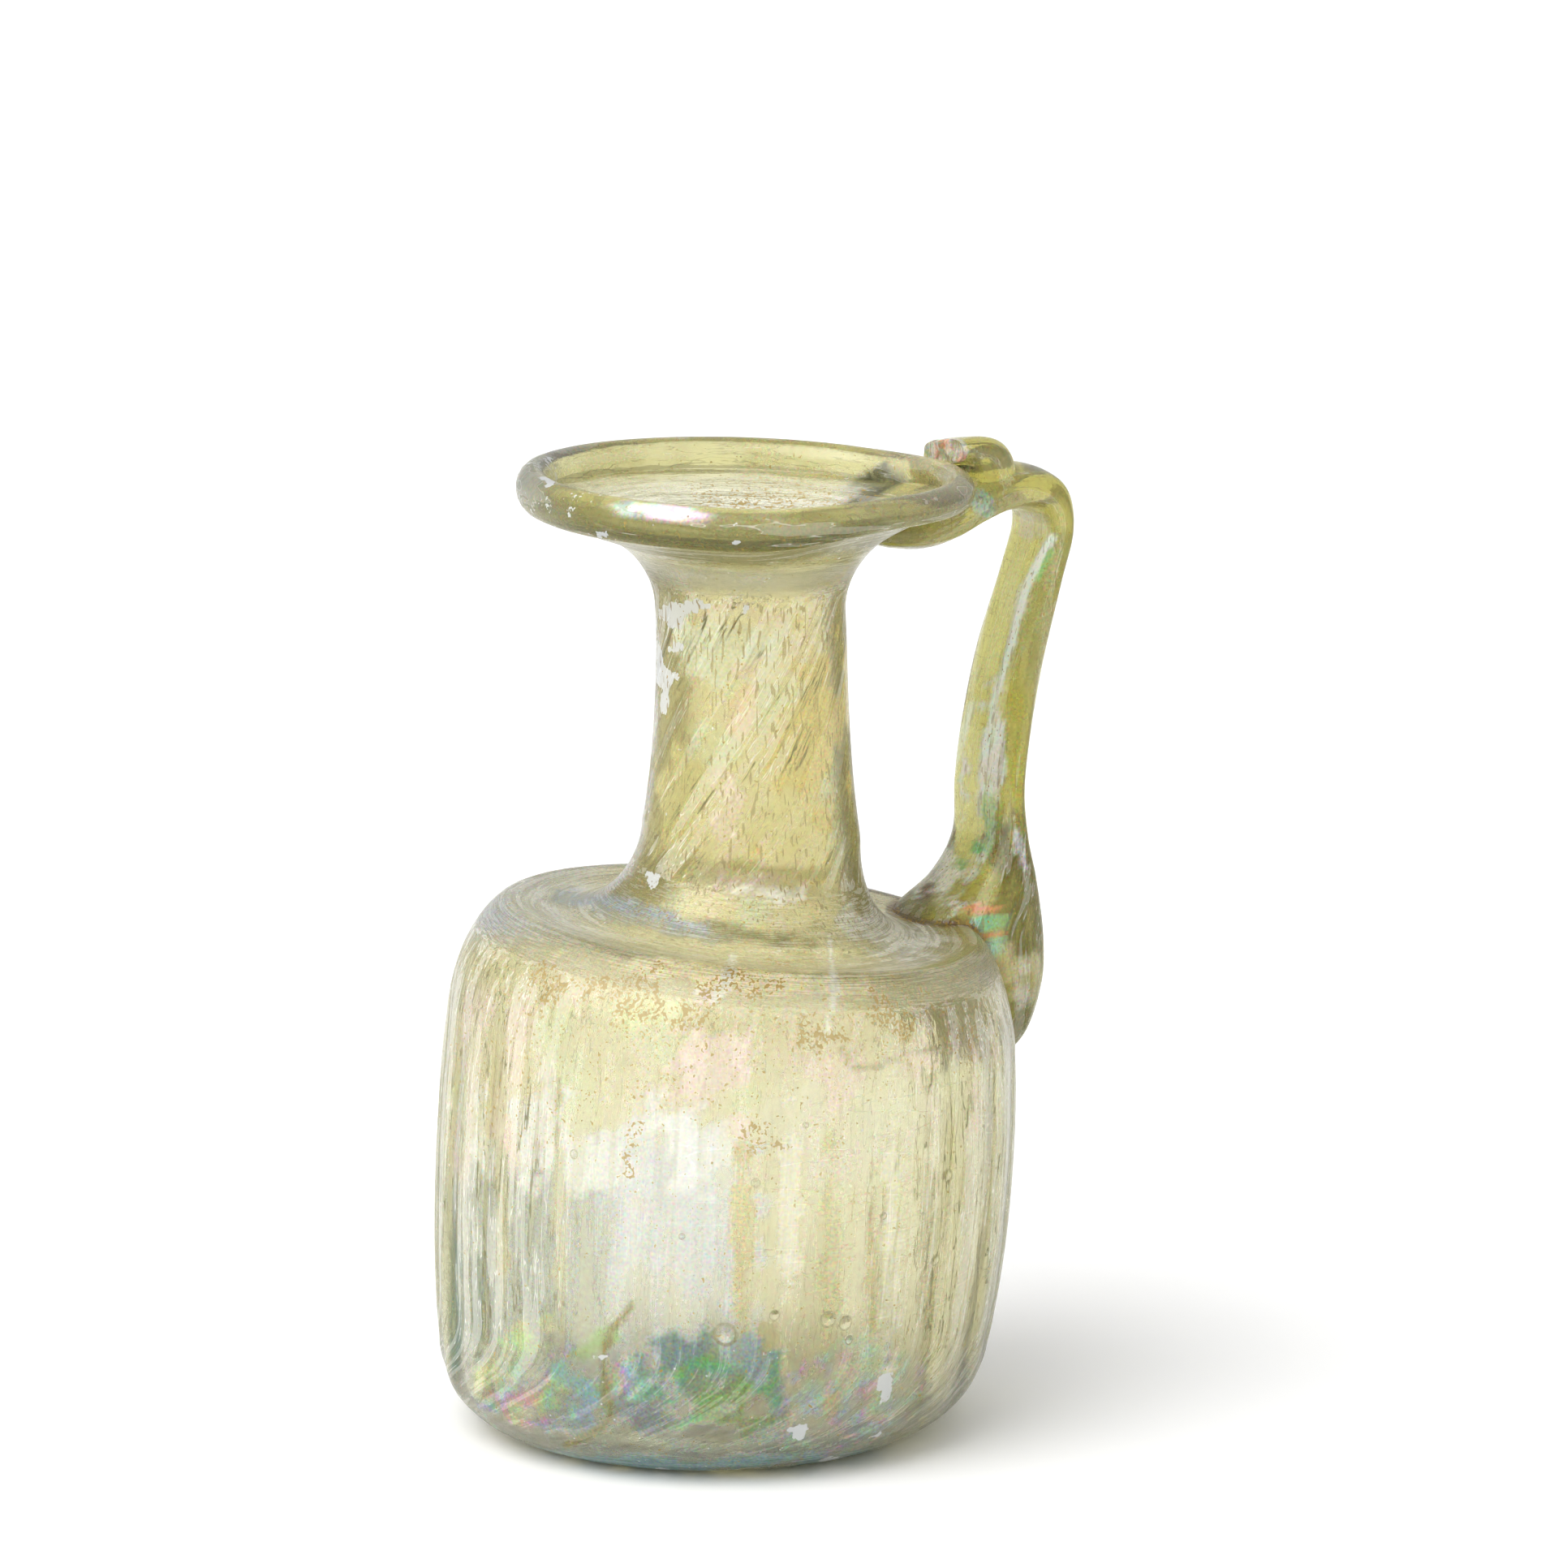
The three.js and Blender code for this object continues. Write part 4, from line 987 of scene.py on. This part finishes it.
floor_mesh = bpy.data.meshes.new("floor")
floor_corners = [(x * FLOOR_REACH, y * FLOOR_REACH, 0) for x, y in ((-1, -1), (1, -1), (1, 1), (-1, 1))]
floor_mesh.from_pydata(floor_corners, [], [(0, 1, 2, 3)])
floor = bpy.data.objects.new("floor", floor_mesh)
scene.collection.objects.link(floor)
paper = bpy.data.materials.new("white_paper")
paper.use_nodes = True
paper_white = (PAPER_WHITE, PAPER_WHITE, PAPER_WHITE, 1)
paper_look = {"Base Color": paper_white, "Roughness": 0.9, "Specular IOR Level": 0.1}
for name, value in paper_look.items():
    paper.node_tree.nodes["Principled BSDF"].inputs[name].default_value = value
floor_mesh.materials.append(paper)

world = bpy.data.worlds.new("studio")
world.use_nodes = True
scene.world = world
side, rise = math.radians(KEY_SIDE + VIEW_AZIMUTH), math.radians(KEY_HEIGHT)
toward_key = (math.sin(side) * math.cos(rise), -math.cos(side) * math.cos(rise), math.sin(rise))
sky = Socket(world.node_tree)
ahead = sky.node("ShaderNodeTexCoord", {}, {}, "Generated")
from_key = sky.node("ShaderNodeVectorMath", {"operation": "DOT_PRODUCT"}, {0: ahead, 1: toward_key}, "Value")
glow = from_key.eased(math.cos(math.radians(KEY_EDGE)), math.cos(math.radians(KEY_CORE)))
light = glow * KEY_GLOW + SKY
world.node_tree.links.new(light.output, world.node_tree.nodes["Background"].inputs["Strength"])
world.node_tree.nodes["Background"].inputs["Color"].default_value = (1, 1, 1, 1)
world.cycles.sampling_method = "NONE"

back = Vector(to_viewer)
right = Vector(to_right)
up = back.cross(right)
target = Vector((*foot[:2], TARGET_HEIGHT))
lens = bpy.data.cameras.new("camera")
camera = bpy.data.objects.new("camera", lens)
scene.collection.objects.link(camera)
scene.camera = camera
camera.location = (target + back * VIEW_DISTANCE) * MM
aim = target + right * AIM_RIGHT + up * AIM_UP
camera.rotation_mode = "QUATERNION"
camera.rotation_quaternion = (aim - (target + back * VIEW_DISTANCE)).to_track_quat("-Z", "Y")
lens.sensor_width = SENSOR_WIDTH
lens.lens = FOCAL_LENGTH
lens.clip_start, lens.clip_end = 0.05, 20

scene.view_settings.view_transform = "Standard"
scene.cycles.use_denoising = True
scene.cycles.max_bounces = BOUNCES
scene.cycles.transmission_bounces = BOUNCES
scene.cycles.glossy_bounces = BOUNCES
